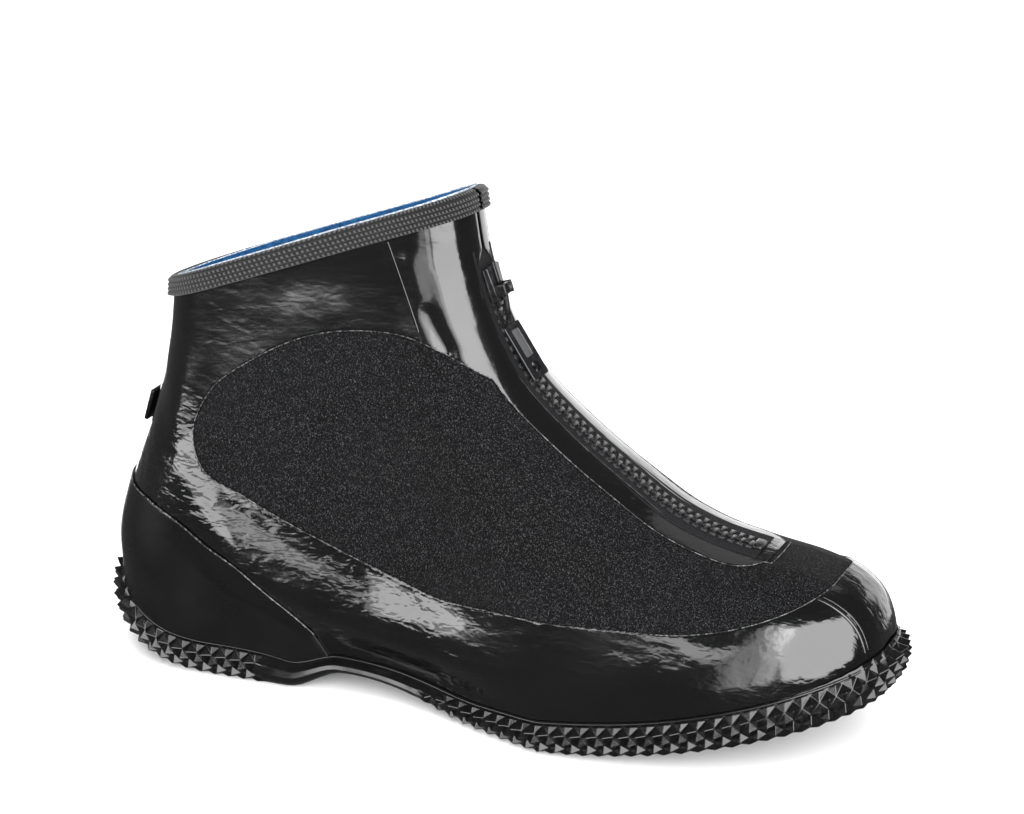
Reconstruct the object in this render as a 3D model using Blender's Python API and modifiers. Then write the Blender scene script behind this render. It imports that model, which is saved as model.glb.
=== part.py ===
# Rubber overshoe with a front zip, a left shoe.
# Built in millimetres and scaled to metres. +X is the toe, +Z is up, and the inner side is at -Y.
# The origin is on the floor, under the middle of the sole.
import math
from collections import namedtuple

import bmesh
import bpy
import numpy as np
from mathutils import Matrix, Vector

MM = 0.001

# Foot and sole sizes
SHOE_LENGTH = 310.0
HEEL_RADIUS = 41.0
TOE_SHIFT = -7.0
TOE_POWER = 2.35
HEEL_RISE = 18.0
HEEL_RISE_LENGTH = 56.0
TOE_SPRING = 28.0
TOE_SPRING_LENGTH = 125.0
TOE_SPRING_POWER = 1.65
ARCH_HEIGHT = 8.0
HEEL_BREAST = (-68.0, -46.0)
ARCH_FRONT = (-44.0, 14.0)
TREAD_DEPTH = 2.6

# Upper sizes
WALL = 2.4
UPPER_INSET = 5.3
SEAT_GAP = 0.3
FOOT_SPARE = 1.5
VAMP_POWER = 2.2
SHAFT_POWER = 2.3
SHAFT_BLEND = (8.0, 45.0)
COLLAR_TILT = 3.0
UPPER_RINGS = 14
UPPER_STEPS = 19
WINDOW_POINTS = 29
FACING_POINTS = 15

# Window, panel and facing sizes
WINDOW_DEPTH = 1.2
PANEL_FACE = -0.35
PANEL_BACK = -0.9
PANEL_MARGIN = 0.4
FACING_HALF = 16.2
FACING_TIP = 110.0
FACING_ROUND = 16.0

# Zip sizes
ZIP_TOP_Z = 157.0
ZIP_END_X = 101.0
SLOT_HALF = 7.0
SLIT_HALF = 0.7
TAPE = (-1.9, -1.3)
TEETH = (-1.0, 0.5)
TEETH_HALF = 4.0
TOOTH_PITCH = 3.3
SLIDER_LENGTH = 13.0
SLIDER_WIDTH = 9.4
PIN_RADIUS = 0.8
PIN_HEIGHT = 4.9
PULL_THICKNESS = 1.5
PULL_LIFT = 6.0

# Sole half widths by length, in mm
SideRow = namedtuple("SideRow", "x inner outer")
SIDES = [
    SideRow(-114.0, 41.0, 41.0),
    SideRow(-70.0, 39.5, 40.5),
    SideRow(-25.0, 37.0, 39.5),
    SideRow(38.0, 53.5, 53.5),
]

# Height of the sole's studded edge by length
EdgeRow = namedtuple("EdgeRow", "x height")
EDGES = [
    EdgeRow(-155.0, 15.5),
    EdgeRow(-115.0, 12.4),
    EdgeRow(-78.0, 11.5),
    EdgeRow(-45.0, 6.2),
    EdgeRow(-5.0, 8.0),
    EdgeRow(40.0, 11.3),
    EdgeRow(90.0, 12.4),
    EdgeRow(155.0, 14.5),
]

# Rim profile: reach is measured out from the widest line, height is a share of the edge height
RimRow = namedtuple("RimRow", "reach height")
RIM = [
    RimRow(-3.4, 0.04),
    RimRow(-1.1, 0.24),
    RimRow(0.0, 0.48),
    RimRow(-0.6, 0.73),
    RimRow(-3.0, 0.94),
]
RIM_TOP = RimRow(-5.0, 1.0)
RIM_FLOOR = -7.5
RIM_COLUMNS = 240
STUD_OUT = 0.9
STUD_IN = 0.9
STUD_HEEL_END = -77.0
STUD_FRONT = (-20.0, 2.0)

# Middle line of the upper from the toe over the vamp to the collar, and how soon it rounds off
RidgeRow = namedtuple("RidgeRow", "x z round")
RIDGE = [
    RidgeRow(149.7, 41.5, 30.0),
    RidgeRow(147.6, 50.0, 30.0),
    RidgeRow(143.0, 58.5, 34.0),
    RidgeRow(135.0, 63.6, 38.0),
    RidgeRow(122.0, 66.4, 42.0),
    RidgeRow(102.0, 68.3, 44.0),
    RidgeRow(86.0, 71.0, 44.0),
    RidgeRow(71.0, 76.5, 43.0),
    RidgeRow(53.0, 88.3, 42.0),
    RidgeRow(34.0, 102.8, 40.0),
    RidgeRow(17.0, 120.0, 38.0),
    RidgeRow(8.0, 138.0, 35.0),
    RidgeRow(2.0, 157.0, 32.0),
    RidgeRow(-1.5, 182.5, 28.0),
]

# Back line of the upper from the sole to the collar
BackRow = namedtuple("BackRow", "z x round")
BACK = [
    BackRow(32.0, -149.7, 36.0),
    BackRow(44.0, -149.5, 36.0),
    BackRow(60.0, -145.0, 35.5),
    BackRow(73.0, -140.0, 35.0),
    BackRow(87.0, -134.2, 34.0),
    BackRow(104.0, -128.5, 33.0),
    BackRow(123.0, -123.6, 31.0),
    BackRow(140.6, -121.0, 29.0),
]

# Width of the ankle and shaft as a share of the foot's width
LevelRow = namedtuple("LevelRow", "z share")
LEVELS = [
    LevelRow(0.0, 1.0),
    LevelRow(30.0, 1.0),
    LevelRow(60.0, 0.97),
    LevelRow(90.0, 0.87),
    LevelRow(120.0, 0.74),
    LevelRow(150.0, 0.64),
    LevelRow(190.0, 0.59),
]

# Edge of the fabric window in side view. The last rows close it in the air above the vamp.
EdgePoint = namedtuple("EdgePoint", "x z")
WINDOW = [
    EdgePoint(12.7, 120.4),
    EdgePoint(-0.8, 128.6),
    EdgePoint(-18.0, 135.2),
    EdgePoint(-36.0, 135.6),
    EdgePoint(-53.5, 132.8),
    EdgePoint(-78.6, 121.3),
    EdgePoint(-96.5, 107.3),
    EdgePoint(-103.2, 91.5),
    EdgePoint(-98.5, 79.6),
    EdgePoint(-82.3, 71.8),
    EdgePoint(-56.0, 60.4),
    EdgePoint(-29.0, 50.4),
    EdgePoint(-7.0, 45.6),
    EdgePoint(22.0, 47.2),
    EdgePoint(60.0, 47.8),
    EdgePoint(91.0, 49.2),
    EdgePoint(112.0, 54.2),
    EdgePoint(129.0, 61.4),
    EdgePoint(139.0, 68.0),
]
WINDOW_AIR = [EdgePoint(150.0, 84.0), EdgePoint(120.0, 104.0), EdgePoint(60.0, 124.0), EdgePoint(28.0, 122.0)]

# Top edge of the heel counter in side view
COUNTER = [
    EdgePoint(-150.0, 66.0),
    EdgePoint(-137.5, 65.4),
    EdgePoint(-124.0, 64.2),
    EdgePoint(-110.0, 59.5),
    EdgePoint(-98.0, 53.4),
    EdgePoint(-83.4, 46.6),
    EdgePoint(-70.0, 35.6),
    EdgePoint(-58.0, 24.0),
    EdgePoint(-52.0, 14.0),
]
SEAM_LINE = -21.8
SEAM_BACK = 127.0
SEAM_TOP = 62.0
OVERLAY = (0.3, 1.2)
OVERLAY_FOOT = 0.6
SEAM_STRIP = (0.3, 1.0)
SEAM_HALF = 1.1

# Collar binding profile: out is measured from the upper's face, down from the collar edge
BindingRow = namedtuple("BindingRow", "out down")
BINDING = [
    BindingRow(0.45, 6.6),
    BindingRow(1.3, 6.6),
    BindingRow(2.0, 5.5),
    BindingRow(1.4, 4.4),
    BindingRow(2.1, 3.3),
    BindingRow(1.4, 2.2),
    BindingRow(2.0, 1.1),
    BindingRow(1.3, 0.0),
    BindingRow(0.2, -1.5),
    BindingRow(-2.4, -1.5),
    BindingRow(-3.8, -0.2),
    BindingRow(-3.8, 6.2),
    BindingRow(-2.9, 6.2),
    BindingRow(-2.9, -0.45),
    BindingRow(0.45, -0.45),
]
BINDING_SPLIT = 1.0

# Tread bars under the sole: row position, half width across and thickness along the shoe
BarRow = namedtuple("BarRow", "x half depth")
BARS = [
    BarRow(-126.0, 25.0, 7.0),
    BarRow(-111.0, 30.0, 7.0),
    BarRow(-87.0, 31.0, 24.0),
    BarRow(-6.0, 30.0, 7.0),
    BarRow(8.0, 36.0, 7.0),
    BarRow(27.0, 42.0, 16.0),
    BarRow(48.0, 44.0, 7.0),
    BarRow(64.0, 43.0, 7.0),
    BarRow(80.0, 41.0, 7.0),
    BarRow(96.0, 36.0, 7.0),
    BarRow(112.0, 29.0, 7.0),
]
BAR_SPLIT = 3.0

INSOLE_INSET = 9.8
INSOLE_THICKNESS = 2.4
INSOLE_GAP = 0.4
INSOLE_COLUMNS = 88

TAB_Z = 91.5
TAB_SIZE = (20.0, 12.5, 1.6)


def smooth_curve(xs, ys):
    """Smooth curve through the rows, as a function of x."""
    xs = np.asarray(xs, float)
    ys = np.asarray(ys, float)
    steps = np.diff(xs)
    slopes = np.diff(ys) / steps
    tangents = np.empty_like(ys)
    tangents[0] = slopes[0]
    tangents[-1] = slopes[-1]
    tangents[1:-1] = (slopes[:-1] * steps[1:] + slopes[1:] * steps[:-1]) / (steps[:-1] + steps[1:])

    def value(x):
        x = np.clip(x, xs[0], xs[-1])
        k = np.clip(np.searchsorted(xs, x) - 1, 0, len(steps) - 1)
        h = steps[k]
        t = (x - xs[k]) / h
        start = (1 + 2 * t) * (1 - t) ** 2 * ys[k] + t * (1 - t) ** 2 * h * tangents[k]
        return start + t * t * (3 - 2 * t) * ys[k + 1] + t * t * (t - 1) * h * tangents[k + 1]

    return value


def ease(x, start, end):
    """Smooth step from 0 at start to 1 at end."""
    t = np.clip((x - start) / (end - start), 0.0, 1.0)
    return t * t * (3 - 2 * t)


def rounding(t, power=2.0):
    """Quarter of a rounded square: 0 at t = 0 and 1 from t = 1."""
    return (1 - np.clip(1 - t, 0.0, 1.0) ** power) ** (1 / power)


def column(rows, name):
    return [getattr(row, name) for row in rows]


def length_along(points):
    """Running length along a line of points."""
    steps = np.linalg.norm(np.diff(np.asarray(points, float), axis=0), axis=1)
    return np.concatenate([[0.0], np.cumsum(steps)])


HALF = SHOE_LENGTH / 2
BALL_X = SIDES[-1].x
FOOT_END = HALF - UPPER_INSET
inner_side = smooth_curve(column(SIDES, "x"), column(SIDES, "inner"))
outer_side = smooth_curve(column(SIDES, "x"), column(SIDES, "outer"))
edge_height = smooth_curve(column(EDGES, "x"), column(EDGES, "height"))
level_share = smooth_curve(column(LEVELS, "z"), column(LEVELS, "share"))
back_x = smooth_curve(column(BACK, "z"), column(BACK, "x"))
back_round = smooth_curve(column(BACK, "z"), column(BACK, "round"))

ridge_marks = length_along([(row.x, row.z) for row in RIDGE])
RIDGE_LENGTH = ridge_marks[-1]
ridge_x = smooth_curve(ridge_marks, column(RIDGE, "x"))
ridge_z = smooth_curve(ridge_marks, column(RIDGE, "z"))
ridge_round = smooth_curve(ridge_marks, column(RIDGE, "round"))
RIDGE_S = np.linspace(0.0, RIDGE_LENGTH, 3000)
RIDGE_PX = ridge_x(RIDGE_S)
RIDGE_PZ = ridge_z(RIDGE_S)
RIDGE_TURN = np.arctan2(np.gradient(RIDGE_PZ), np.gradient(RIDGE_PX))


def ridge_top(x):
    """Height of the ridge at x."""
    return np.interp(x, RIDGE_PX[::-1], RIDGE_PZ[::-1])


def ridge_frame(s):
    """Point, direction and outward direction of the ridge at length s, in side view."""
    turn = np.interp(s, RIDGE_S, RIDGE_TURN)
    point = np.array([ridge_x(s), ridge_z(s)])
    along = np.array([math.cos(turn), math.sin(turn)])
    return point, along, np.array([along[1], -along[0]])


def sole_bottom(x):
    """Height of the sole's lowest line: heel rise, arch and toe spring."""
    heel = HEEL_RISE * np.clip((-HALF + HEEL_RISE_LENGTH - x) / HEEL_RISE_LENGTH, 0, 1.2) ** 2
    toe_part = np.clip((x - HALF + TOE_SPRING_LENGTH) / TOE_SPRING_LENGTH, 0, 1.2)
    arch = ARCH_HEIGHT * ease(x, *HEEL_BREAST) * (1 - ease(x, *ARCH_FRONT))
    return heel + TOE_SPRING * toe_part ** TOE_SPRING_POWER + arch


def sole_top(x):
    return sole_bottom(x) + edge_height(x)


def centre_line(x):
    """Sideways curve of the shoe's middle line towards the big toe."""
    return TOE_SHIFT * np.clip((x - BALL_X) / (HALF - BALL_X), 0, 1) ** 2


def half_width(x, side, inset):
    """Half width of the foot on one side, not rounded at the heel."""
    width = (inner_side(x) if side < 0 else outer_side(x)) - inset
    reach = HALF - inset - BALL_X
    return width * rounding(1 - np.clip((x - BALL_X) / reach, 0, 1), TOE_POWER)


def side_outline(side, inset, count):
    """Points from the heel to the toe along one side of the sole, evenly spaced."""
    x = -(HALF - inset) * np.cos(np.linspace(0, math.pi, 1500))
    heel = rounding((x + HALF - inset) / (HEEL_RADIUS - inset))
    y = centre_line(x) + side * half_width(x, side, inset) * heel
    marks = length_along(np.stack([x, y], 1))
    even = np.linspace(0, marks[-1], count)
    return np.stack([np.interp(even, marks, x), np.interp(even, marks, y)], 1)


def closed_outline(inset, count):
    """Closed outline of the sole: out along the inner side and back along the outer side."""
    inner = side_outline(-1, inset, count // 2 + 1)
    outer = side_outline(1, inset, count // 2 + 1)
    return np.concatenate([inner, outer[-2:0:-1]])


def upper_half(x, z, side):
    """Half width of the upper at a place in side view."""
    plan = half_width(x, side, UPPER_INSET)
    low = sole_top(x)
    rise = np.clip((z - low) / np.maximum(ridge_top(x) - low, 1.0), 0, 1)
    arch = rounding(1 - rise, VAMP_POWER)
    near = np.hypot(RIDGE_PX[:, None] - x[None], RIDGE_PZ[:, None] - z[None]).argmin(0)
    turn = RIDGE_TURN[near]
    depth = np.abs((x - RIDGE_PX[near]) * np.sin(turn) - (z - RIDGE_PZ[near]) * np.cos(turn))
    shaft = rounding(depth / ridge_round(RIDGE_S[near]), SHAFT_POWER) * level_share(z)
    blend = ease(x, *SHAFT_BLEND)
    back = rounding((x - back_x(z)) / back_round(z))
    return plan * (blend * arch + (1 - blend) * shaft) * back


def upper_line(v, steps, side):
    """One ring of the upper's face on one side, from the back to the ridge. v is 0 at the sole."""
    s = v * RIDGE_LENGTH
    front_x = ridge_x(s)
    front_z = ridge_z(s)
    rear_z = BACK[0].z + v * (BACK[-1].z - BACK[0].z)
    rear_x = back_x(rear_z)
    t = (1 - np.cos(np.pi * np.asarray(steps, float))) / 2
    foot = sole_top(-FOOT_END + 2 * FOOT_END * t) - FOOT_SPARE
    chord = BACK[0].z + (RIDGE[0].z - BACK[0].z) * t
    x = rear_x + (front_x - rear_x) * t
    z = rear_z + (front_z - rear_z) * t + (foot - chord) * (1 - v) ** 2
    half = upper_half(x, z, side) * (t > 0) * (t < 1)
    full = np.maximum(half_width(x, side, UPPER_INSET), 1.0)
    tilt = -side * COLLAR_TILT * v ** 6 * half / full
    return np.stack([x, centre_line(x) + side * half, z + tilt], 1)


def upper_ring(v, count):
    """A closed ring of the upper's face: inner side to the ridge and outer side back."""
    steps = np.linspace(0, 1, count + 1)
    inner = upper_line(v, steps, -1)
    outer = upper_line(v, steps, 1)
    return np.concatenate([inner, outer[-2:0:-1]])


parts = bpy.data.collections.new("rubber_overshoe")
cutters = bpy.data.collections.new("cutters")


def clear_scene():
    for item in list(bpy.data.objects):
        bpy.data.objects.remove(item, do_unlink=True)
    bpy.context.scene.collection.children.link(parts)
    bpy.context.scene.collection.children.link(cutters)


def material(name, colour, roughness, metallic=0.0):
    finish = bpy.data.materials.new(name)
    finish.use_nodes = True
    shader = finish.node_tree.nodes["Principled BSDF"]
    shader.inputs["Base Color"].default_value = (*colour, 1.0)
    shader.inputs["Roughness"].default_value = roughness
    shader.inputs["Metallic"].default_value = metallic
    return finish


def add_mesh(name, points, faces, finish=None):
    """A mesh object from points in millimetres. Without a finish it is a cutter."""
    mesh = bpy.data.meshes.new(name)
    mesh.from_pydata([Vector(p) * MM for p in points], [], faces)
    mesh.validate()
    item = bpy.data.objects.new(name, mesh)
    return settle(item, finish)


def settle(item, finish):
    """Put an object among the parts, or among the cutters, with its faces pointing out."""
    work = bmesh.new()
    work.from_mesh(item.data)
    bmesh.ops.recalc_face_normals(work, faces=work.faces)
    work.to_mesh(item.data)
    work.free()
    if finish is None:
        cutters.objects.link(item)
        item.hide_render = True
        item.display_type = "WIRE"
    else:
        parts.objects.link(item)
        item.data.materials.append(finish)
    return item


def smooth(item, angle=35.0):
    item.data.shade_smooth()
    item.data.set_sharp_from_angle(angle=math.radians(angle))


def boolean(item, cutter, operation):
    step = item.modifiers.new(cutter.name, "BOOLEAN")
    step.operation = operation
    step.object = cutter
    step.solver = "EXACT"


def ring_faces(rings, count, closed=True):
    """Quads between rings of points that are stored one after another."""
    faces = []
    for ring in range(rings - 1):
        for k in range(count if closed else count - 1):
            a = ring * count + k
            b = ring * count + (k + 1) % count
            faces.append((a, b, b + count, a + count))
    return faces


def ladder_faces(first, count):
    """Rungs across a closed ring that starts and ends on the middle line."""
    faces = []
    for k in range(count // 2):
        a, b = first + k, first + k + 1
        c, d = first + (count - k - 1) % count, first + (count - k) % count
        faces.append(tuple(dict.fromkeys((a, b, c, d))))
    return faces


def upper_sheet(name, low, high, finish):
    """The upper's surface with a wall from low to high, measured out from its face."""
    points = []
    for v in np.linspace(0, 1, UPPER_RINGS):
        points.extend(upper_ring(v, UPPER_STEPS))
    quads = ring_faces(UPPER_RINGS, 2 * UPPER_STEPS)
    triangles = [(a, b, c) for a, b, c, d in quads] + [(a, c, d) for a, b, c, d in quads]
    item = add_mesh(name, points, triangles, finish)
    wall = item.modifiers.new("wall", "SOLIDIFY")
    wall.thickness = (high - low) * MM
    wall.offset = (high + low) / (high - low)
    wall.use_even_offset = False
    smooth(item)
    return item


def side_prism(name, outline, near, far):
    """A block of the outline in side view, between two places across the shoe."""
    count = len(outline)
    points = [(x, near, z) for x, z in outline] + [(x, far, z) for x, z in outline]
    faces = ring_faces(2, count)
    faces.append(tuple(range(count)))
    faces.append(tuple(range(2 * count - 1, count - 1, -1)))
    return add_mesh(name, points, faces)


def spline_points(rows, count):
    """A smooth open line through rows of a side view."""
    marks = length_along([(row.x, row.z) for row in rows])
    even = np.linspace(0, marks[-1], count)
    x = smooth_curve(marks, column(rows, "x"))(even)
    z = smooth_curve(marks, column(rows, "z"))(even)
    return np.stack([x, z], 1)


def moved_aside(line, distance):
    """A line moved to its right-hand side by a distance."""
    run = np.gradient(line, axis=0)
    run /= np.linalg.norm(run, axis=1)[:, None]
    return line + distance * np.stack([run[:, 1], -run[:, 0]], 1)


def ribbon(name, start, end, half, low, high, count, finish=None):
    """A strip along the ridge between two lengths, with its half width a function of place."""
    points = []
    for s in np.linspace(start, end, count):
        (x, z), _, out = ridge_frame(s)
        y = centre_line(x)
        w = half(s)
        for lift, across in ((low, -w), (high, -w), (high, w), (low, w)):
            points.append((x + out[0] * lift, y + across, z + out[1] * lift))
    faces = ring_faces(count, 4)
    faces.append((0, 1, 2, 3))
    faces.append(tuple(4 * count - k for k in (1, 2, 3, 4)))
    return add_mesh(name, points, faces, finish)


def ridge_at_x(x):
    return float(np.interp(-x, -RIDGE_PX, RIDGE_S))


def ridge_at_z(z):
    return float(np.interp(z, RIDGE_PZ, RIDGE_S))


def facing_half(s, margin=0.0):
    """Half width of the zip's rubber facing, with a round tip over the toes."""
    x = float(ridge_x(s))
    return FACING_HALF * float(rounding((FACING_TIP + margin - x) / FACING_ROUND)) + margin


def window_block(name, margin):
    """Block of the window in side view, made smaller all round by the margin."""
    edge = moved_aside(spline_points(WINDOW, WINDOW_POINTS), -margin)
    outline = np.concatenate([edge, np.array([(p.x, p.z) for p in WINDOW_AIR])])
    return side_prism(name, outline, -90.0, 90.0)


def facing_guard(name, margin):
    """Block along the ridge that keeps the facing out of the window."""
    start = ridge_at_x(FACING_TIP + margin - 0.4)
    end = ridge_at_z(150.0)
    return ribbon(name, start, end, lambda s: facing_half(s, margin), -9.0, 9.0, FACING_POINTS)


def sole_slab(name, gap):
    """Block that fills the sole's place up to a gap above its top face."""
    count = RIM_COLUMNS // 2
    edge = closed_outline(-3.0, count)
    points = [(x, y, sole_top(x) - 12.0) for x, y in edge]
    points += [(x, y, sole_top(x) + gap) for x, y in edge]
    faces = ring_faces(2, count) + ladder_faces(0, count) + ladder_faces(count, count)
    return add_mesh(name, points, faces)


def make_upper(rubber):
    """Hollow rubber upper with the window sunk into its face and the zip slot cut through."""
    upper = upper_sheet("upper", -WALL, 0.0, rubber)
    window = upper_sheet("window_cut", -WINDOW_DEPTH, 3.0, None)
    boolean(window, window_block("window_block", 0.0), "INTERSECT")
    boolean(window, facing_guard("window_guard", 0.0), "DIFFERENCE")
    boolean(upper, window, "DIFFERENCE")
    boolean(upper, sole_slab("upper_foot", SEAT_GAP), "DIFFERENCE")
    slot_start = ridge_at_x(ZIP_END_X + 3.0)
    slot_end = ridge_at_z(ZIP_TOP_Z)
    slot = ribbon("slot_cut", slot_start, slot_end, lambda s: SLOT_HALF, -8.0, 5.0, 24)
    slit = ribbon("slit_cut", slot_end - 2.0, RIDGE_LENGTH + 12.0, lambda s: SLIT_HALF, -8.0, 5.0, 8)
    for point in slit.data.vertices[-4:]:
        point.co.z += 12.0 * MM
    boolean(upper, slot, "DIFFERENCE")
    boolean(upper, slit, "DIFFERENCE")
    return upper


def make_panel(fabric):
    """Stretch fabric that fills the window, a little below the rubber's face."""
    panel = upper_sheet("stretch_panel", PANEL_BACK, PANEL_FACE, fabric)
    boolean(panel, window_block("panel_block", PANEL_MARGIN), "INTERSECT")
    boolean(panel, facing_guard("panel_guard", PANEL_MARGIN), "DIFFERENCE")
    return panel


def make_counter(rubber):
    """Raised rubber round the heel."""
    counter = upper_sheet("heel_counter", *OVERLAY, rubber)
    edge = spline_points(COUNTER, 16)
    edge = edge[edge[:, 1] > sole_top(edge[:, 0]) + 2.0]
    foot_x = np.linspace(edge[-1][0] + 1.0, -FOOT_END - 6.0, 12)
    foot = np.stack([foot_x, sole_top(foot_x) + OVERLAY_FOOT], 1)
    outline = np.concatenate([[(foot_x[-1], edge[0][1])], edge, foot])
    boolean(counter, side_prism("counter_block", outline, -90.0, 90.0), "INTERSECT")
    return counter


def make_toe_seam(rubber):
    """Raised overlap of the toe's rubber, on the inner side only."""
    seam = upper_sheet("toe_seam", *SEAM_STRIP, rubber)
    low = float(sole_top(HALF - 8.0)) + OVERLAY_FOOT
    size = (60.0, 2 * SEAM_HALF, SEAM_TOP - low)
    place = Matrix.Translation(Vector((SEAM_BACK + 30.0, SEAM_LINE, (SEAM_TOP + low) / 2)) * MM)
    boolean(seam, block("seam_block", size, place, 0.0), "INTERSECT")
    return seam


def stud_size(x):
    """Share of the full stud height along the sole's side: the waist is smooth."""
    front = ease(x, *STUD_FRONT)
    return front if x > STUD_HEEL_END else 1.0


def make_outsole(rubber):
    """Sole with a rim of pyramid studs, a tread recess and tread bars."""
    edge = closed_outline(0.0, RIM_COLUMNS)
    run = np.roll(edge, -1, axis=0) - np.roll(edge, 1, axis=0)
    run /= np.linalg.norm(run, axis=1)[:, None]
    outward = np.stack([run[:, 1], -run[:, 0]], 1)
    floor_ring = edge + outward * RIM_FLOOR
    points = [(x, y, sole_bottom(x) + TREAD_DEPTH) for x, y in floor_ring]
    last = len(RIM) - 1
    for row, rim in enumerate(RIM):
        lean = (row - last / 2) / last
        for k, (x, y) in enumerate(edge):
            stud = (STUD_OUT if (row + k) % 2 else -STUD_IN) * stud_size(x)
            stud *= 0.4 if row in (0, last) else 1.0
            reach = rim.reach - STUD_OUT + stud
            px, py = np.array([x, y]) + outward[k] * reach
            height = max(edge_height(x) * rim.height + stud * lean, 0.0)
            points.append((px, py, sole_bottom(px) + height))
    points += [(x, y, sole_top(x)) for x, y in edge + outward * RIM_TOP.reach]
    rings = len(RIM) + 2
    faces = []
    for ring in range(rings - 1):
        for k in range(RIM_COLUMNS):
            a = ring * RIM_COLUMNS + k
            b = ring * RIM_COLUMNS + (k + 1) % RIM_COLUMNS
            c, d = b + RIM_COLUMNS, a + RIM_COLUMNS
            if (ring - 1 + k) % 2 == 0:
                faces += [(a, b, c), (a, c, d)]
            else:
                faces += [(a, b, d), (b, c, d)]
    faces += ladder_faces(0, RIM_COLUMNS)
    faces += ladder_faces((rings - 1) * RIM_COLUMNS, RIM_COLUMNS)
    sole = add_mesh("outsole", points, faces, rubber)
    boolean(sole, make_bars(), "UNION")
    return sole


def make_bars():
    """Tread bars in one cutter: each reaches from the tread's lowest line into the sole."""
    points = []
    faces = []
    for row in BARS:
        for side in (-1, 1):
            inside = (BAR_SPLIT if row.depth < 10 else 0.0) * side
            ends = sorted((inside, row.half * side))
            if row.depth >= 10:
                if side > 0:
                    continue
                ends = (-row.half, row.half)
            low = max(0.0, float(sole_bottom(row.x)) - 0.001)
            top = low + TREAD_DEPTH + 1.6
            first = len(points)
            middle = float(centre_line(row.x))
            for z in (low, top):
                for dx, y in ((-1, ends[0]), (1, ends[0]), (1, ends[1]), (-1, ends[1])):
                    points.append((row.x + dx * row.depth / 2, middle + y, z))
            faces += [tuple(first + k for k in (3, 2, 1, 0)), tuple(first + k for k in (4, 5, 6, 7))]
            faces += [(first + k, first + (k + 1) % 4, first + 4 + (k + 1) % 4, first + 4 + k) for k in range(4)]
    return add_mesh("tread_bars", points, faces)


def make_insole(cloth):
    """Flat insole inside the upper, on the sole."""
    edge = closed_outline(INSOLE_INSET, INSOLE_COLUMNS)
    points = [(x, y, sole_top(x) + INSOLE_GAP) for x, y in edge]
    points += [(x, y, sole_top(x) + INSOLE_GAP + INSOLE_THICKNESS) for x, y in edge]
    faces = ring_faces(2, INSOLE_COLUMNS)
    faces += ladder_faces(0, INSOLE_COLUMNS) + ladder_faces(INSOLE_COLUMNS, INSOLE_COLUMNS)
    return add_mesh("insole", points, faces, cloth)


def make_binding(elastic):
    """Ribbed elastic binding folded over the collar edge, split at the throat."""
    dense = np.linspace(0.9, 1, 400)
    steps = np.linspace(0, 1, UPPER_STEPS + 1)[:-1]
    stations = []
    for side in (-1, 1):
        across = np.abs(upper_line(1.0, dense, side)[:, 1])
        end = float(np.interp(BINDING_SPLIT, across[::-1], dense[::-1]))
        stations.append([(u, side) for u in steps if u < end - 0.01] + [(end, side)])
    path = stations[0][::-1] + stations[1][1:]
    points = []
    for u, side in path:
        origin, out, down = collar_frame(u, side)
        for row in BINDING:
            points.append(origin + out * row.out + down * row.down)
    count = len(BINDING)
    faces = ring_faces(len(path), count)
    faces.append(tuple(range(count)))
    faces.append(tuple(len(points) - 1 - k for k in range(count)))
    binding = add_mesh("collar_binding", points, faces, elastic)
    smooth(binding, 50.0)
    return binding


def collar_frame(u, side):
    """Point on the collar edge with its outward and downward directions."""
    step = 0.004
    near = [min(max(u + k * step, 0.0), 1.0) for k in (-1, 0, 1)]
    line = upper_line(1.0, near, side)
    low = upper_line(0.95, near, side)
    down = low[1] - line[1]
    down /= np.linalg.norm(down)
    run = line[2] - line[0]
    if u < step:
        run = np.array([0.0, 1.0 * side, 0.0])
    if u > 1 - step:
        run = np.array([0.0, -1.0 * side, 0.0])
    out = np.cross(run, down) * side
    out /= np.linalg.norm(out)
    return line[1], out, down


def make_zip(tape_cloth, plastic):
    """Tape, closed chain of teeth and bottom stop, sunk in the slot along the ridge."""
    start = ridge_at_x(ZIP_END_X + 2.6)
    end = ridge_at_z(ZIP_TOP_Z - 0.4)
    ribbon("zip_tape", start, end, lambda s: SLOT_HALF - 0.35, *TAPE, 30, tape_cloth)
    chain_start = ridge_at_x(ZIP_END_X - 2.0)
    teeth = int((end - chain_start) / TOOTH_PITCH)
    count = 2 * teeth + 1

    def tooth_half(s):
        k = int(round((s - chain_start) / (end - chain_start) * (count - 1)))
        return TEETH_HALF if k % 2 else TEETH_HALF - 1.4

    ribbon("zip_teeth", chain_start, end, tooth_half, *TEETH, count, plastic)
    stop_end = chain_start - 0.3
    stop_start = ridge_at_x(ZIP_END_X + 2.0)
    ribbon("zip_stop", stop_start, stop_end, lambda s: 3.2, TEETH[0], TEETH[1] + 0.4, 3, plastic)


def ridge_matrix(s, lift):
    """Frame on the ridge: x runs down the zip, y across the shoe and z outward."""
    (x, z), along, out = ridge_frame(s)
    origin = np.array([x + out[0] * lift, float(centre_line(x)), z + out[1] * lift])
    columns = Matrix(((-along[0], 0.0, out[0]), (0.0, 1.0, 0.0), (-along[1], 0.0, out[1])))
    return Matrix.Translation(Vector(origin) * MM) @ columns.to_4x4()


def block(name, size, place, bevel, finish=None):
    """A box of a size in millimetres with bevelled edges, its place baked into the mesh."""
    mesh = bpy.data.meshes.new(name)
    work = bmesh.new()
    bmesh.ops.create_cube(work, size=1.0)
    bmesh.ops.scale(work, vec=Vector(size) * MM, verts=work.verts)
    if bevel:
        bmesh.ops.bevel(work, geom=work.edges[:], offset=bevel * MM, segments=2, profile=0.5, affect="EDGES")
    bmesh.ops.transform(work, matrix=place, verts=work.verts)
    work.to_mesh(mesh)
    work.free()
    return settle(bpy.data.objects.new(name, mesh), finish)


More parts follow.
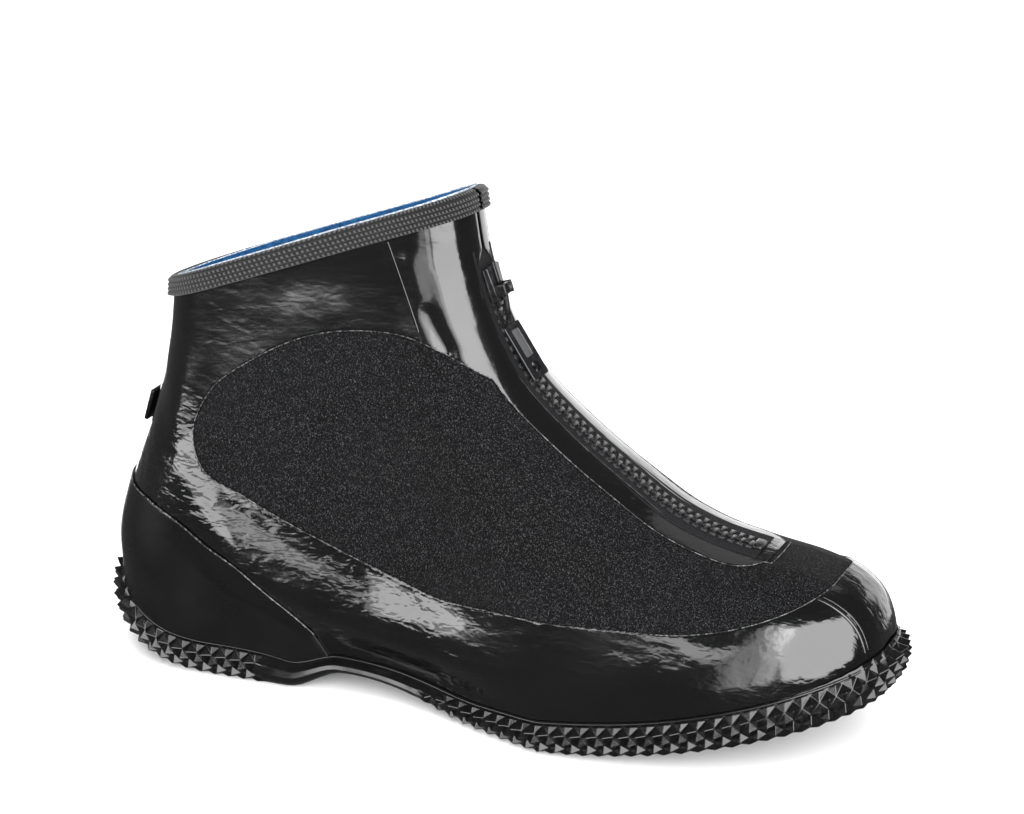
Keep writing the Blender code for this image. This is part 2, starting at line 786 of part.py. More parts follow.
def rod(name, radius, length, place, finish=None, sides=16):
    """A cylinder along the y axis of its place."""
    mesh = bpy.data.meshes.new(name)
    work = bmesh.new()
    bmesh.ops.create_cone(work, cap_ends=True, segments=sides, radius1=radius * MM, radius2=radius * MM,
                          depth=length * MM)
    bmesh.ops.rotate(work, matrix=Matrix.Rotation(math.pi / 2, 3, "X"), verts=work.verts)
    bmesh.ops.transform(work, matrix=place, verts=work.verts)
    work.to_mesh(mesh)
    work.free()
    return settle(bpy.data.objects.new(name, mesh), finish)


def shifted(place, x, y, z):
    return place @ Matrix.Translation(Vector((x, y, z)) * MM)


def make_slider(metal):
    """Slider body over the teeth with two ears and the pin that carries the pull tab."""
    middle = ridge_at_z(ZIP_TOP_Z) - SLIDER_LENGTH / 2 - 0.5
    face = TEETH[1] + 0.35
    place = ridge_matrix(middle, face)
    slider = block("zip_slider", (SLIDER_LENGTH, SLIDER_WIDTH, 1.6), shifted(place, 0, 0, 0.8), 0.5, metal)
    hinge = shifted(place, 2.5, 0.0, PIN_HEIGHT - face)
    for side in (-1, 1):
        ear = block("ear_%d" % side, (4.0, 1.2, 4.2), shifted(hinge, 0, side * 2.6, -1.1), 0.3)
        boolean(slider, ear, "UNION")
    boolean(slider, rod("pin", PIN_RADIUS, 5.6, hinge), "UNION")
    return hinge


def make_pull(metal, hinge):
    """Pull tab lying down the zip: an eye round the pin, a narrow link and the grip plate."""
    frame = bpy.data.objects.new("pull_axis", None)
    parts.objects.link(frame)
    frame.matrix_world = hinge
    rest = Matrix.Rotation(-math.radians(PULL_LIFT), 4, "Y")
    low = -PULL_THICKNESS / 2
    pull = rod("zip_pull", 2.0, 2.8, rest, metal, 24)
    link = block("pull_link", (13.0, 2.4, PULL_THICKNESS - 0.2), shifted(rest, 7.6, 0, low), 0.3)
    grip = block("pull_grip", (21.0, 8.4, PULL_THICKNESS), shifted(rest, 22.6, 0, low), 0.5)
    boolean(pull, link, "UNION")
    boolean(pull, grip, "UNION")
    boolean(pull, rod("pull_bore", PIN_RADIUS + 0.35, 8.0, rest), "DIFFERENCE")
    hole = shifted(rest, 29.0, 0, low) @ Matrix.Rotation(math.pi / 2, 4, "X")
    boolean(pull, rod("pull_hole", 2.0, 8.0, hole), "DIFFERENCE")
    pull.parent = frame
    for cutter in ("pull_link", "pull_grip", "pull_bore", "pull_hole"):
        bpy.data.objects[cutter].parent = frame


def make_tab(rubber):
    """Flat kick plate against the back of the heel."""
    width, tall, thick = TAB_SIZE
    lean = math.atan2(float(back_x(TAB_Z + 6) - back_x(TAB_Z - 6)), 12.0)
    x = float(back_x(TAB_Z)) - thick / 2 - 0.35
    place = Matrix.Translation(Vector((x, 0, TAB_Z)) * MM) @ Matrix.Rotation(lean, 4, "Y")
    block("heel_tab", (thick, width, tall), place, 0.5, rubber)


def build():
    clear_scene()
    rubber = material("gloss_rubber", (0.012, 0.012, 0.013), 0.16)
    satin = material("satin_rubber", (0.016, 0.016, 0.017), 0.35)
    tread = material("sole_rubber", (0.014, 0.014, 0.015), 0.3)
    fabric = material("stretch_knit", (0.02, 0.02, 0.022), 0.95)
    elastic = material("binding_elastic", (0.03, 0.03, 0.032), 0.7)
    cloth = material("insole_felt", (0.02, 0.09, 0.26), 0.95)
    tape = material("zip_cloth", (0.012, 0.012, 0.013), 0.85)
    plastic = material("zip_plastic", (0.02, 0.02, 0.022), 0.35)
    metal = material("slider_metal", (0.02, 0.02, 0.02), 0.3, 0.6)
    make_upper(rubber)
    make_panel(fabric)
    make_counter(satin)
    make_toe_seam(rubber)
    make_outsole(tread)
    make_insole(cloth)
    make_binding(elastic)
    make_zip(tape, plastic)
    make_pull(metal, make_slider(metal))
    make_tab(satin)


build()
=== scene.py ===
import math

import bmesh
import bpy
import numpy as np
from mathutils import Matrix, Vector


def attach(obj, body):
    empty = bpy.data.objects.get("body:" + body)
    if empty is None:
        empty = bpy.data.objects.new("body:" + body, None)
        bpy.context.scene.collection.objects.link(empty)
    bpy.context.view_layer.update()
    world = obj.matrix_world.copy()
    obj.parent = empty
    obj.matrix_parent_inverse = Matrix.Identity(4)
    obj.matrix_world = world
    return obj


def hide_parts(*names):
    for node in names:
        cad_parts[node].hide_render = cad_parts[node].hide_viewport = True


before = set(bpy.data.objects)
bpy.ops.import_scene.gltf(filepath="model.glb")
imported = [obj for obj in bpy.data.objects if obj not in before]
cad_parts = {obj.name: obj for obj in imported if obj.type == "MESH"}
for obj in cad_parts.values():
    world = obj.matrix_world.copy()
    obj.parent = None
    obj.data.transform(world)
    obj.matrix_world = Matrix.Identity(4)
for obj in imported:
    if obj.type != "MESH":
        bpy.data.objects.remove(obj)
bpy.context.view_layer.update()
bpy.ops.object.select_all(action="DESELECT")
mm = 0.001
mergeGap = 0.000002
print("frame loaded")


# the shoe's form in millimetres, with the same sizes as the solids
shoe = dict(length=310.0, heelRadius=41.0, toeShift=-7.0, toePower=2.35, heelRise=18.0, heelRiseLength=56.0,
            toeSpring=28.0, toeSpringLength=125.0, toeSpringPower=1.65, archHeight=8.0, heelBreast=(-68.0, -46.0),
            archFront=(-44.0, 14.0), upperInset=5.3, vampPower=2.2, shaftPower=2.3, shaftBlend=(8.0, 45.0),
            collarTilt=3.0)
sides = dict(x=[-114, -70, -25, 38], inner=[41, 39.5, 37, 53.5], outer=[41, 40.5, 39.5, 53.5])
edges = dict(x=[-155, -115, -78, -45, -5, 40, 90, 155], height=[15.5, 12.4, 11.5, 6.2, 8, 11.3, 12.4, 14.5])
ridge = dict(x=[149.7, 147.6, 143, 135, 122, 102, 86, 71, 53, 34, 17, 8, 2, -1.5],
             z=[41.5, 50, 58.5, 63.6, 66.4, 68.3, 71, 76.5, 88.3, 102.8, 120, 138, 157, 182.5],
             round=[30, 30, 34, 38, 42, 44, 44, 43, 42, 40, 38, 35, 32, 28])
back = dict(z=[32, 44, 60, 73, 87, 104, 123, 140.6],
            x=[-149.7, -149.5, -145, -140, -134.2, -128.5, -123.6, -121],
            round=[36, 36, 35.5, 35, 34, 33, 31, 29])
levels = dict(z=[0, 30, 60, 90, 120, 150, 190], share=[1, 1, 0.97, 0.87, 0.74, 0.64, 0.59])
window = dict(x=[12.7, -0.8, -18, -36, -53.5, -78.6, -96.5, -103.2, -98.5, -82.3, -56, -29, -7, 22, 60, 91, 112,
                 129, 139],
              z=[120.4, 128.6, 135.2, 135.6, 132.8, 121.3, 107.3, 91.5, 79.6, 71.8, 60.4, 50.4, 45.6, 47.2, 47.8,
                 49.2, 54.2, 61.4, 68])
# points in the air that close the window's outline over the ridge
windowAir = [(150.0, 84.0), (120.0, 104.0), (60.0, 124.0), (28.0, 122.0)]
counterLine = dict(x=[-152, -137.5, -124, -110, -98, -83.4, -70, -58, -50],
                   z=[66, 65.4, 64.2, 59.5, 53.4, 46.6, 35.6, 24, 12])
facing = dict(half=16.2, tip=110.0, round=16.0)
zipPlace = dict(topZ=157.0, endX=101.0, slotHalf=7.0, slitHalf=0.7, endGap=2.5, topGap=2.0, narrowing=9.0,
                frontReach=12.0)


def smoothCurve(xs, ys):
    xs = np.asarray(xs, float)
    ys = np.asarray(ys, float)
    steps = np.diff(xs)
    slopes = np.diff(ys) / steps
    tangents = np.empty_like(ys)
    tangents[0] = slopes[0]
    tangents[-1] = slopes[-1]
    tangents[1:-1] = (slopes[:-1] * steps[1:] + slopes[1:] * steps[:-1]) / (steps[:-1] + steps[1:])

    def value(x):
        x = np.clip(x, xs[0], xs[-1])
        k = np.clip(np.searchsorted(xs, x) - 1, 0, len(steps) - 1)
        h = steps[k]
        t = (x - xs[k]) / h
        start = (1 + 2 * t) * (1 - t) ** 2 * ys[k] + t * (1 - t) ** 2 * h * tangents[k]
        return start + t * t * (3 - 2 * t) * ys[k + 1] + t * t * (t - 1) * h * tangents[k + 1]

    return value


def ease(x, start, end):
    t = np.clip((x - start) / (end - start), 0.0, 1.0)
    return t * t * (3 - 2 * t)


def rounding(t, power=2.0):
    return (1 - np.clip(1 - t, 0.0, 1.0) ** power) ** (1 / power)


def lengthAlong(points):
    steps = np.linalg.norm(np.diff(np.asarray(points, float), axis=0), axis=1)
    return np.concatenate([[0.0], np.cumsum(steps)])


half = shoe["length"] / 2
ballX = sides["x"][-1]
footEnd = half - shoe["upperInset"]
innerSide = smoothCurve(sides["x"], sides["inner"])
outerSide = smoothCurve(sides["x"], sides["outer"])
edgeHeight = smoothCurve(edges["x"], edges["height"])
levelShare = smoothCurve(levels["z"], levels["share"])
backX = smoothCurve(back["z"], back["x"])
backRound = smoothCurve(back["z"], back["round"])
ridgeMarks = lengthAlong(np.stack([ridge["x"], ridge["z"]], 1))
ridgeLength = ridgeMarks[-1]
ridgeX = smoothCurve(ridgeMarks, ridge["x"])
ridgeZ = smoothCurve(ridgeMarks, ridge["z"])
ridgeRound = smoothCurve(ridgeMarks, ridge["round"])
ridgeS = np.linspace(0.0, ridgeLength, 3000)
ridgePx = ridgeX(ridgeS)
ridgePz = ridgeZ(ridgeS)
ridgeTurn = np.arctan2(np.gradient(ridgePz), np.gradient(ridgePx))


def soleBottom(x):
    heel = shoe["heelRise"] * np.clip((-half + shoe["heelRiseLength"] - x) / shoe["heelRiseLength"], 0, 1.2) ** 2
    toe = np.clip((x - half + shoe["toeSpringLength"]) / shoe["toeSpringLength"], 0, 1.2)
    arch = shoe["archHeight"] * ease(x, *shoe["heelBreast"]) * (1 - ease(x, *shoe["archFront"]))
    return heel + shoe["toeSpring"] * toe ** shoe["toeSpringPower"] + arch


def soleTop(x):
    return soleBottom(x) + edgeHeight(x)


def centreLine(x):
    return shoe["toeShift"] * np.clip((x - ballX) / (half - ballX), 0, 1) ** 2


def halfWidth(x, side, inset):
    width = np.where(np.asarray(side) < 0, innerSide(x), outerSide(x)) - inset
    reach = half - inset - ballX
    return width * rounding(1 - np.clip((x - ballX) / reach, 0, 1), shoe["toePower"])


def sideOutline(side, inset, count):
    x = -(half - inset) * np.cos(np.linspace(0, math.pi, 2500))
    heel = rounding((x + half - inset) / (shoe["heelRadius"] - inset))
    y = centreLine(x) + side * halfWidth(x, side, inset) * heel
    marks = lengthAlong(np.stack([x, y], 1))
    even = np.linspace(0, marks[-1], count)
    return np.stack([np.interp(even, marks, x), np.interp(even, marks, y)], 1)


def upperHalf(x, z, side):
    plan = halfWidth(x, side, shoe["upperInset"])
    low = soleTop(x)
    top = np.interp(x, ridgePx[::-1], ridgePz[::-1])
    rise = np.clip((z - low) / np.maximum(top - low, 1.0), 0, 1)
    arch = rounding(1 - rise, shoe["vampPower"])
    few = np.linspace(0, len(ridgeS) - 1, 260).astype(int)
    near = few[np.hypot(ridgePx[few][:, None] - x[None], ridgePz[few][:, None] - z[None]).argmin(0)]
    turn = ridgeTurn[near]
    s = ridgeS[near] + (x - ridgePx[near]) * np.cos(turn) + (z - ridgePz[near]) * np.sin(turn)
    s = np.clip(s, 0, ridgeLength)
    turn = np.interp(s, ridgeS, ridgeTurn)
    depth = np.abs((x - ridgeX(s)) * np.sin(turn) - (z - ridgeZ(s)) * np.cos(turn))
    shaft = rounding(depth / ridgeRound(s), shoe["shaftPower"]) * levelShare(z)
    blend = ease(x, *shoe["shaftBlend"])
    heel = rounding((x - backX(z)) / backRound(z))
    return plan * (blend * arch + (1 - blend) * shaft) * heel


# w runs round the shoe from the back over the inner side and the ridge, v from the sole to the collar
def upperPoint(w, v):
    w = np.mod(w, 1.0)
    side = np.where(w < 0.5, -1.0, 1.0)
    u = np.where(w < 0.5, 2 * w, 2 - 2 * w)
    t = (1 - np.cos(np.pi * u)) / 2
    s = v * ridgeLength
    rearZ = back["z"][0] + v * (back["z"][-1] - back["z"][0])
    rearX = backX(rearZ)
    foot = soleTop(-footEnd + 2 * footEnd * t) - 0.3
    chord = back["z"][0] + (ridge["z"][0] - back["z"][0]) * t
    x = rearX + (ridgeX(s) - rearX) * t
    z = rearZ + (ridgeZ(s) - rearZ) * t + (foot - chord) * (1 - v) ** 2
    wide = upperHalf(x, z, side) * (t > 0) * (t < 1)
    full = np.maximum(halfWidth(x, side, shoe["upperInset"]), 1.0)
    tilt = -side * shoe["collarTilt"] * v ** 6 * wide / full
    return np.stack([x, centreLine(x) + side * wide, z + tilt], 1)


def upperNormal(w, v, step=0.0006):
    low = np.clip(v - step, 0, 1)
    high = np.clip(v + step, 0, 1)
    around = upperPoint(w + step, v) - upperPoint(w - step, v)
    up = upperPoint(w, high) - upperPoint(w, low)
    normal = np.cross(around, up)
    return normal / np.maximum(np.linalg.norm(normal, axis=1), 1e-9)[:, None]


def ridgeFrame(s):
    turn = np.interp(s, ridgeS, ridgeTurn)
    x = float(ridgeX(s))
    point = np.array([x, float(centreLine(x)), float(ridgeZ(s))])
    along = np.array([math.cos(turn), 0.0, math.sin(turn)])
    return point, along, np.array([along[2], 0.0, -along[0]])


def ridgeAtX(x):
    return float(np.interp(-x, -ridgePx, ridgeS))


def ridgeAtZ(z):
    return float(np.interp(z, ridgePz, ridgeS))


def splineLine(rows, count):
    marks = lengthAlong(np.stack([rows["x"], rows["z"]], 1))
    even = np.linspace(0, marks[-1], count)
    return np.stack([smoothCurve(marks, rows["x"])(even), smoothCurve(marks, rows["z"])(even)], 1)


# how far along the run from a to b the nearest point lies, 0 to 1, and how far off the run the points are
def offRun(x, z, a, b):
    dx, dz = b[0] - a[0], b[1] - a[1]
    t = np.clip(((x - a[0]) * dx + (z - a[1]) * dz) / max(dx ** 2 + dz ** 2, 1e-9), 0, 1)
    return t, np.hypot(x - a[0] - t * dx, z - a[1] - t * dz)


def insideDistance(x, z, outline):
    best = np.full(len(x), np.inf)
    inside = np.zeros(len(x), bool)
    for a, b in zip(outline, np.roll(outline, -1, axis=0)):
        best = np.minimum(best, offRun(x, z, a, b)[1])
        if a[1] != b[1]:
            inside ^= ((a[1] > z) != (b[1] > z)) & (x < a[0] + (z - a[1]) * (b[0] - a[0]) / (b[1] - a[1]))
    return np.where(inside, best, -best)


windowOutline = np.concatenate([splineLine(window, 150), windowAir])
counterOutline = np.concatenate([splineLine(counterLine, 60), [(-50.0, -20.0), (-190.0, -20.0), (-190.0, 66.0)]])


def facingDistance(p):
    y = np.abs(p[:, 1] - centreLine(p[:, 0])) / facing["half"]
    end = np.clip(1 - (facing["tip"] - p[:, 0]) / facing["round"], 0, 9)
    return (np.hypot(y, end) - 1) * facing["half"]


def windowField(p, grow=0.0):
    return np.minimum(insideDistance(p[:, 0], p[:, 2], windowOutline), facingDistance(p)) + grow


def slotField(p):
    y = np.abs(p[:, 1] - centreLine(p[:, 0]))
    end = np.maximum(p[:, 0] - (zipPlace["endX"] - zipPlace["slotHalf"] + zipPlace["endGap"]), 0)
    top = np.maximum(p[:, 2] - (zipPlace["topZ"] - zipPlace["topGap"]), 0)
    wide = zipPlace["slotHalf"] - (zipPlace["slotHalf"] - zipPlace["slitHalf"]) * ease(top, 0, zipPlace["narrowing"])
    front = np.where(p[:, 0] > ridgeX(ridgeLength) - zipPlace["frontReach"], 0, -99.0)
    return wide - np.hypot(y, end) + front


def counterField(p):
    return insideDistance(p[:, 0], p[:, 2], counterOutline)


# a node's socket, so that shader maths is written as plain sums
class Wire:
    def __init__(self, paint, socket):
        self.paint = paint
        self.socket = socket

    def maths(self, operation, a, b=None):
        values = {0: a} if b is None else {0: a, 1: b}
        return self.paint.node("ShaderNodeMath", dict(operation=operation), values)

    def __add__(self, other):
        return self.maths("ADD", self, other)

    def __radd__(self, other):
        return self.maths("ADD", other, self)

    def __sub__(self, other):
        return self.maths("SUBTRACT", self, other)

    def __rsub__(self, other):
        return self.maths("SUBTRACT", other, self)

    def __mul__(self, other):
        return self.maths("MULTIPLY", self, other)

    def __rmul__(self, other):
        return self.maths("MULTIPLY", other, self)


class Paint:
    def __init__(self, name, **constants):
        self.material = bpy.data.materials.new(name)
        self.material.use_nodes = True
        self.tree = self.material.node_tree
        self.shader = self.tree.nodes["Principled BSDF"]
        for key, value in constants.items():
            self.feed(key.replace("_", " "), value)

    def plug(self, socket, value):
        if isinstance(value, Wire):
            self.tree.links.new(value.socket, socket)
        elif isinstance(value, tuple) and len(value) == 3 and socket.type == "RGBA":
            socket.default_value = (*value, 1.0)
        else:
            socket.default_value = value

    def feed(self, name, value):
        self.plug(self.shader.inputs[name], value)

    def node(self, kind, settings, sockets, out=0):
        item = self.tree.nodes.new(kind)
        for key, value in settings.items():
            if key == "stops":
                while len(item.color_ramp.elements) < len(value):
                    item.color_ramp.elements.new(0.5)
                for element, (place, level) in zip(item.color_ramp.elements, value):
                    element.position = place
                    element.color = (level, level, level, 1.0)
            else:
                setattr(item, key, value)
        for key, value in sockets.items():
            self.plug(item.inputs[key], value)
        return Wire(self, item.outputs[out])

    def coordinates(self, kind="Object"):
        return self.node("ShaderNodeTexCoord", {}, {}, out=kind)

    def place(self, scale=(1.0, 1.0, 1.0), kind="Object"):
        return self.node("ShaderNodeMapping", {}, {"Vector": self.coordinates(kind), "Scale": scale})

    def axis(self, source, number):
        return self.node("ShaderNodeSeparateXYZ", {}, {0: source}, out=number)

    def noise(self, place, scale, detail=3.0, rough=0.5, distortion=0.0):
        values = {"Vector": place, "Scale": scale, "Detail": detail, "Roughness": rough, "Distortion": distortion}
        return self.node("ShaderNodeTexNoise", {}, values)

    def band(self, value, start, end, low=0.0, high=1.0):
        limits = {"Value": value, "From Min": start, "From Max": end, "To Min": low, "To Max": high}
        return self.node("ShaderNodeMapRange", dict(interpolation_type="SMOOTHSTEP"), limits)

    def mix(self, factor, a, b):
        settings = dict(data_type="RGBA")
        return self.node("ShaderNodeMix", settings, {0: factor, 6: a, 7: b}, out=2)

    def bump(self, height, distance, strength=1.0, under=None):
        values = {"Height": height, "Distance": distance, "Strength": strength}
        if under is not None:
            values["Normal"] = under
        return self.node("ShaderNodeBump", {}, values)

    def wave(self, value):
        return self.node("ShaderNodeMath", dict(operation="SINE"), {0: value})

    def finished(self, colour=None, rough=None, normal=None):
        for name, value in (("Base Color", colour), ("Roughness", rough), ("Normal", normal)):
            if value is not None:
                self.feed(name, value)
        return self.material


def glossRubber():
    paint = Paint("gloss_rubber", Base_Color=(0.0018, 0.0018, 0.002), Specular_IOR_Level=0.5, Coat_Roughness=0.06)
    spot = paint.place()
    peel = paint.noise(spot, 330.0, 2.0, 0.45)
    ripple = paint.noise(paint.place(scale=(0.45, 1.0, 1.0)), 270.0, 2.0, 0.5, 0.3)
    swell = paint.noise(spot, 38.0, 1.0, 0.4)
    patches = paint.noise(spot, 26.0, 2.0, 0.5)
    rearward = paint.band(paint.axis(spot, 0), 0.06, -0.03, 0.5, 1.0)
    wrinkled = rearward * paint.band(paint.axis(spot, 2), 0.08, 0.11, 1.0, 0.25)
    middle = paint.bump(ripple * wrinkled, 0.0006, under=paint.bump(swell, 0.0007))
    paint.feed("Coat Weight", paint.band(patches, 0.3, 0.7, 0.35, 0.6))
    return paint.finished(rough=paint.band(patches, 0.35, 0.7, 0.1, 0.19) + peel * 0.03,
                          normal=paint.bump(peel, 0.00004, under=middle))


# duller moulded rubber, with wide dents and a fine grain
def mouldedRubber(name, colour, specular, dents, depth, grains, rough):
    paint = Paint(name, Base_Color=colour, Specular_IOR_Level=specular)
    spot = paint.place()
    cloud = paint.noise(spot, dents, 3.0, 0.5)
    grain = paint.noise(spot, grains, 2.0, 0.5)
    return paint.finished(rough=paint.band(cloud, 0.3, 0.7, *rough),
                          normal=paint.bump(grain, 0.00002, under=paint.bump(cloud, depth)))


def stretchKnit():
    paint = Paint("stretch_knit", Specular_IOR_Level=0.08, Sheen_Weight=0.02, Sheen_Roughness=0.5)
    spot = paint.place()
    loops = paint.noise(spot, 2600.0, 2.0, 0.6)
    thread = paint.noise(paint.place(scale=(1.0, 1.0, 0.6)), 2000.0, 2.0, 0.55)
    worn = paint.noise(spot, 22.0, 3.0, 0.55)
    speck = paint.band(loops * 0.6 + thread * 0.4, 0.5, 0.68)
    dark = paint.mix(paint.band(worn, 0.3, 0.7), (0.0008, 0.0008, 0.001), (0.002, 0.002, 0.0023))
    return paint.finished(paint.mix(speck, dark, (0.036, 0.036, 0.038)), paint.band(worn, 0.3, 0.7, 0.82, 0.95),
                          paint.bump(loops + thread, 0.0002, 0.8))


# the cords fill the face share of the band's width, and the rest folds over the edge
binding = dict(cords=4, face=0.72, height=6.8, base=0.2, out=1.15, edge=24, cordHeight=0.8, cordPower=0.7, top=1.3,
               inner=-2.2, split=1.0, steps=420, rows=60, thick=0.35, twist=1180.0, slant=16.0)


def bindingElastic():
    paint = Paint("binding_elastic", Specular_IOR_Level=0.3, Sheen_Weight=0.1)
    uv = paint.coordinates("UV")
    across = paint.axis(uv, 1)
    twist = paint.wave(paint.axis(uv, 0) * binding["twist"] + across * binding["slant"])
    cord = paint.wave(across * (binding["cords"] * math.pi / binding["face"]))
    # painted shade: the grooves between the cords are painted dark in the colour, mixed with the cords' twisted
    # strands
    grooveShade = cord.maths("ABSOLUTE", cord)
    fibre = paint.noise(paint.place(scale=(260.0, 24.0, 1.0), kind="UV"), 9.0, 2.0, 0.6)
    strandAndGrooveShade = paint.band(twist + fibre * 0.5, 0.0, 1.3) * paint.band(grooveShade, 0.5, 1.0)
    return paint.finished(paint.mix(strandAndGrooveShade, (0.001, 0.001, 0.0012), (0.06, 0.06, 0.063)),
                          paint.band(strandAndGrooveShade, 0.0, 1.0, 0.8, 0.5), paint.bump(strandAndGrooveShade + fibre * 0.3, 0.00022))


def fleeceLining():
    paint = Paint("fleece_lining", Specular_IOR_Level=0.1, Sheen_Weight=0.08, Sheen_Roughness=0.6)
    spot = paint.place()
    fluff = paint.noise(spot, 1500.0, 3.0, 0.65) * 0.6 + paint.noise(spot, 420.0, 2.0, 0.5) * 0.4
    return paint.finished(paint.mix(paint.band(fluff, 0.36, 0.64), (0.002, 0.032, 0.11), (0.012, 0.1, 0.25)),
                          paint.band(fluff, 0.3, 0.7, 0.98, 0.88), paint.bump(fluff, 0.0007))


def zipCloth():
    paint = Paint("zip_cloth", Specular_IOR_Level=0.2)
    uv = paint.coordinates("UV")
    weave = paint.wave(paint.axis(uv, 0) * 1500.0) * paint.wave(paint.axis(uv, 1) * 95.0)
    fuzz = paint.noise(paint.place(), 2500.0, 2.0, 0.6)
    lit = paint.band(weave + fuzz * 0.6, 0.1, 1.2)
    return paint.finished(paint.mix(lit, (0.002, 0.002, 0.0024), (0.022, 0.022, 0.024)),
                          paint.band(fuzz, 0.3, 0.7, 0.75, 0.9), paint.bump(weave * 0.5 + fuzz, 0.0002))


# a finish made by one noise, which mixes a dark and a light colour and sets how rough and dented it is
def speckled(name, specular, size, detail, dark, light, rough, band=None, depth=None, metallic=None):
    paint = Paint(name, Specular_IOR_Level=specular)
    grain = paint.noise(paint.place(), size, detail, 0.6)
    if metallic:
        paint.feed("Metallic", paint.band(grain, 0.3, 0.7, *metallic))
    colour = paint.mix(paint.band(grain, *band) if band else grain, dark, light)
    return paint.finished(colour, paint.band(grain, 0.3, 0.7, *rough), paint.bump(grain, depth) if depth else None)


finish = dict(
    gloss=glossRubber(), knit=stretchKnit(), elastic=bindingElastic(), fleece=fleeceLining(), cloth=zipCloth(),
    satin=mouldedRubber("satin_rubber", (0.002, 0.002, 0.0022), 0.42, 60.0, 0.0003, 900.0, (0.27, 0.36)),
    sole=mouldedRubber("sole_rubber", (0.0025, 0.0025, 0.0028), 0.5, 120.0, 0.00012, 1500.0, (0.13, 0.27)),
    hem=speckled("fleece_hem", 0.1, 1300.0, 3.0, (0.12, 0.16, 0.22), (0.5, 0.52, 0.55), (0.98, 0.9),
                 band=(0.35, 0.65), depth=0.0003),
    plastic=speckled("zip_plastic", 0.5, 700.0, 3.0, (0.003, 0.003, 0.0035), (0.02, 0.02, 0.021), (0.2, 0.38),
                     band=(0.45, 0.75), depth=0.00006),
    metal=speckled("slider_metal", 0.6, 260.0, 3.0, (0.01, 0.01, 0.011), (0.03, 0.03, 0.031), (0.14, 0.26),
                   band=(0.45, 0.7), metallic=(0.35, 0.6)),
    inset=speckled("pull_inset", 0.5, 1800.0, 2.0, (0.03, 0.03, 0.032), (0.055, 0.055, 0.057), (0.35, 0.5),
                   depth=0.00005),
    # the light grey dots are partly scuffed cut rubber and partly a painted dotted highlight along the lips
    edge=speckled("rubber_edge_highlight", 0.6, 750.0, 2.0, (0.004, 0.004, 0.0045), (0.1, 0.1, 0.103), (0.2, 0.4),
                  band=(0.45, 0.65)))
print("finishes made")


def selectNone():
    bpy.ops.object.select_all(action="DESELECT")


# puts new data in the scene as an object of its own
def added(name, data):
    item = bpy.data.objects.new(name, data)
    bpy.context.scene.collection.objects.link(item)
    return item


def turned(degrees, axis):
    return Matrix.Rotation(math.radians(degrees), 4, axis)


def selectOnly(item):
    selectNone()
    item.select_set(True)
    bpy.context.view_layer.objects.active = item


def applyAll(item):
    selectOnly(item)
    for step in list(item.modifiers):
        bpy.ops.object.modifier_apply(modifier=step.name)


def editAll(item):
    selectOnly(item)
    bpy.ops.object.mode_set(mode="EDIT")
    bpy.ops.mesh.select_all(action="SELECT")


def leaveEdit():
    bpy.ops.object.mode_set(mode="OBJECT")


def dress(item, name, paint, node=None, body="body", angle=35.0):
    item.name = name
    item.data.name = name
    item.data.materials.clear()
    item.data.materials.append(finish[paint])
    selectOnly(item)
    bpy.ops.object.shade_smooth_by_angle(angle=math.radians(angle))
    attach(item, body)
    if node:
        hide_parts(node)
    return item


# a grid primitive whose points are put on a surface; place(a, b) takes 0..1 both ways
def gridOn(name, across, along, place, closed=False):
    selectNone()
    bpy.ops.mesh.primitive_grid_add(x_subdivisions=across, y_subdivisions=along, size=1.0, calc_uvs=True)
    item = bpy.context.object
    item.name = name
    flat = np.empty(len(item.data.vertices) * 3)
    item.data.vertices.foreach_get("co", flat)
    flat = flat.reshape(-1, 3) + 0.5
    points = place(flat[:, 0], flat[:, 1]) * mm
    item.data.vertices.foreach_set("co", points.ravel())
    item.data.update()
    if closed:
        editAll(item)
        bpy.ops.mesh.remove_doubles(threshold=mergeGap)
        leaveEdit()
    return item


def faceOut(item):
    editAll(item)
    bpy.ops.mesh.normals_make_consistent(inside=False)
    leaveEdit()


# gives a piece a wall and soft edges, in millimetres, and applies both
def giveWall(item, thickness=0.0, offset=0.0, rim=0.0, segments=2, angle=60):
    if thickness:
        wall = item.modifiers.new("wall", "SOLIDIFY")
        wall.thickness = thickness * mm
        wall.offset = offset
    if rim:
        soft = item.modifiers.new("rim", "BEVEL")
        soft.width = rim * mm
        soft.segments = segments
        soft.limit_method = "ANGLE"
        soft.angle_limit = math.radians(angle)
    applyAll(item)


def moved(x, y, z):
    return Matrix.Translation(Vector((x, y, z)) * mm)


def boxPiece(size, bevel, segments=2, place=None):
    selectNone()
    bpy.ops.mesh.primitive_cube_add(size=1.0, scale=tuple(s * mm for s in size))
    item = bpy.context.object
    bpy.ops.object.transform_apply(location=True, rotation=True, scale=True)
    editAll(item)
    bpy.ops.mesh.bevel(offset=bevel * mm, segments=segments, affect="EDGES")
    leaveEdit()
    if place:
        item.data.transform(place)
    return item


def joined(items):
    selectNone()
    for item in items:
        item.select_set(True)
    bpy.context.view_layer.objects.active = items[0]
    bpy.ops.object.join()
    return items[0]


# a round cord along a line, finished as a piece of its own
def tubeAlong(name, line, radius, paint, node=None, sidesRound=8, closed=False):
    curve = bpy.data.curves.new(name, "CURVE")
    curve.dimensions = "3D"
    curve.bevel_depth = radius * mm
    curve.bevel_resolution = sidesRound // 2 - 1
    curve.use_fill_caps = True
    spline = curve.splines.new("POLY")
    spline.points.add(len(line) - 1)
    for point, place in zip(spline.points, line):
        point.co = (*(np.asarray(place) * mm), 1.0)
    spline.use_cyclic_u = closed
    selectOnly(added(name, curve))
    bpy.ops.object.convert(target="MESH")
    return dress(bpy.context.object, name, paint, node, angle=80)


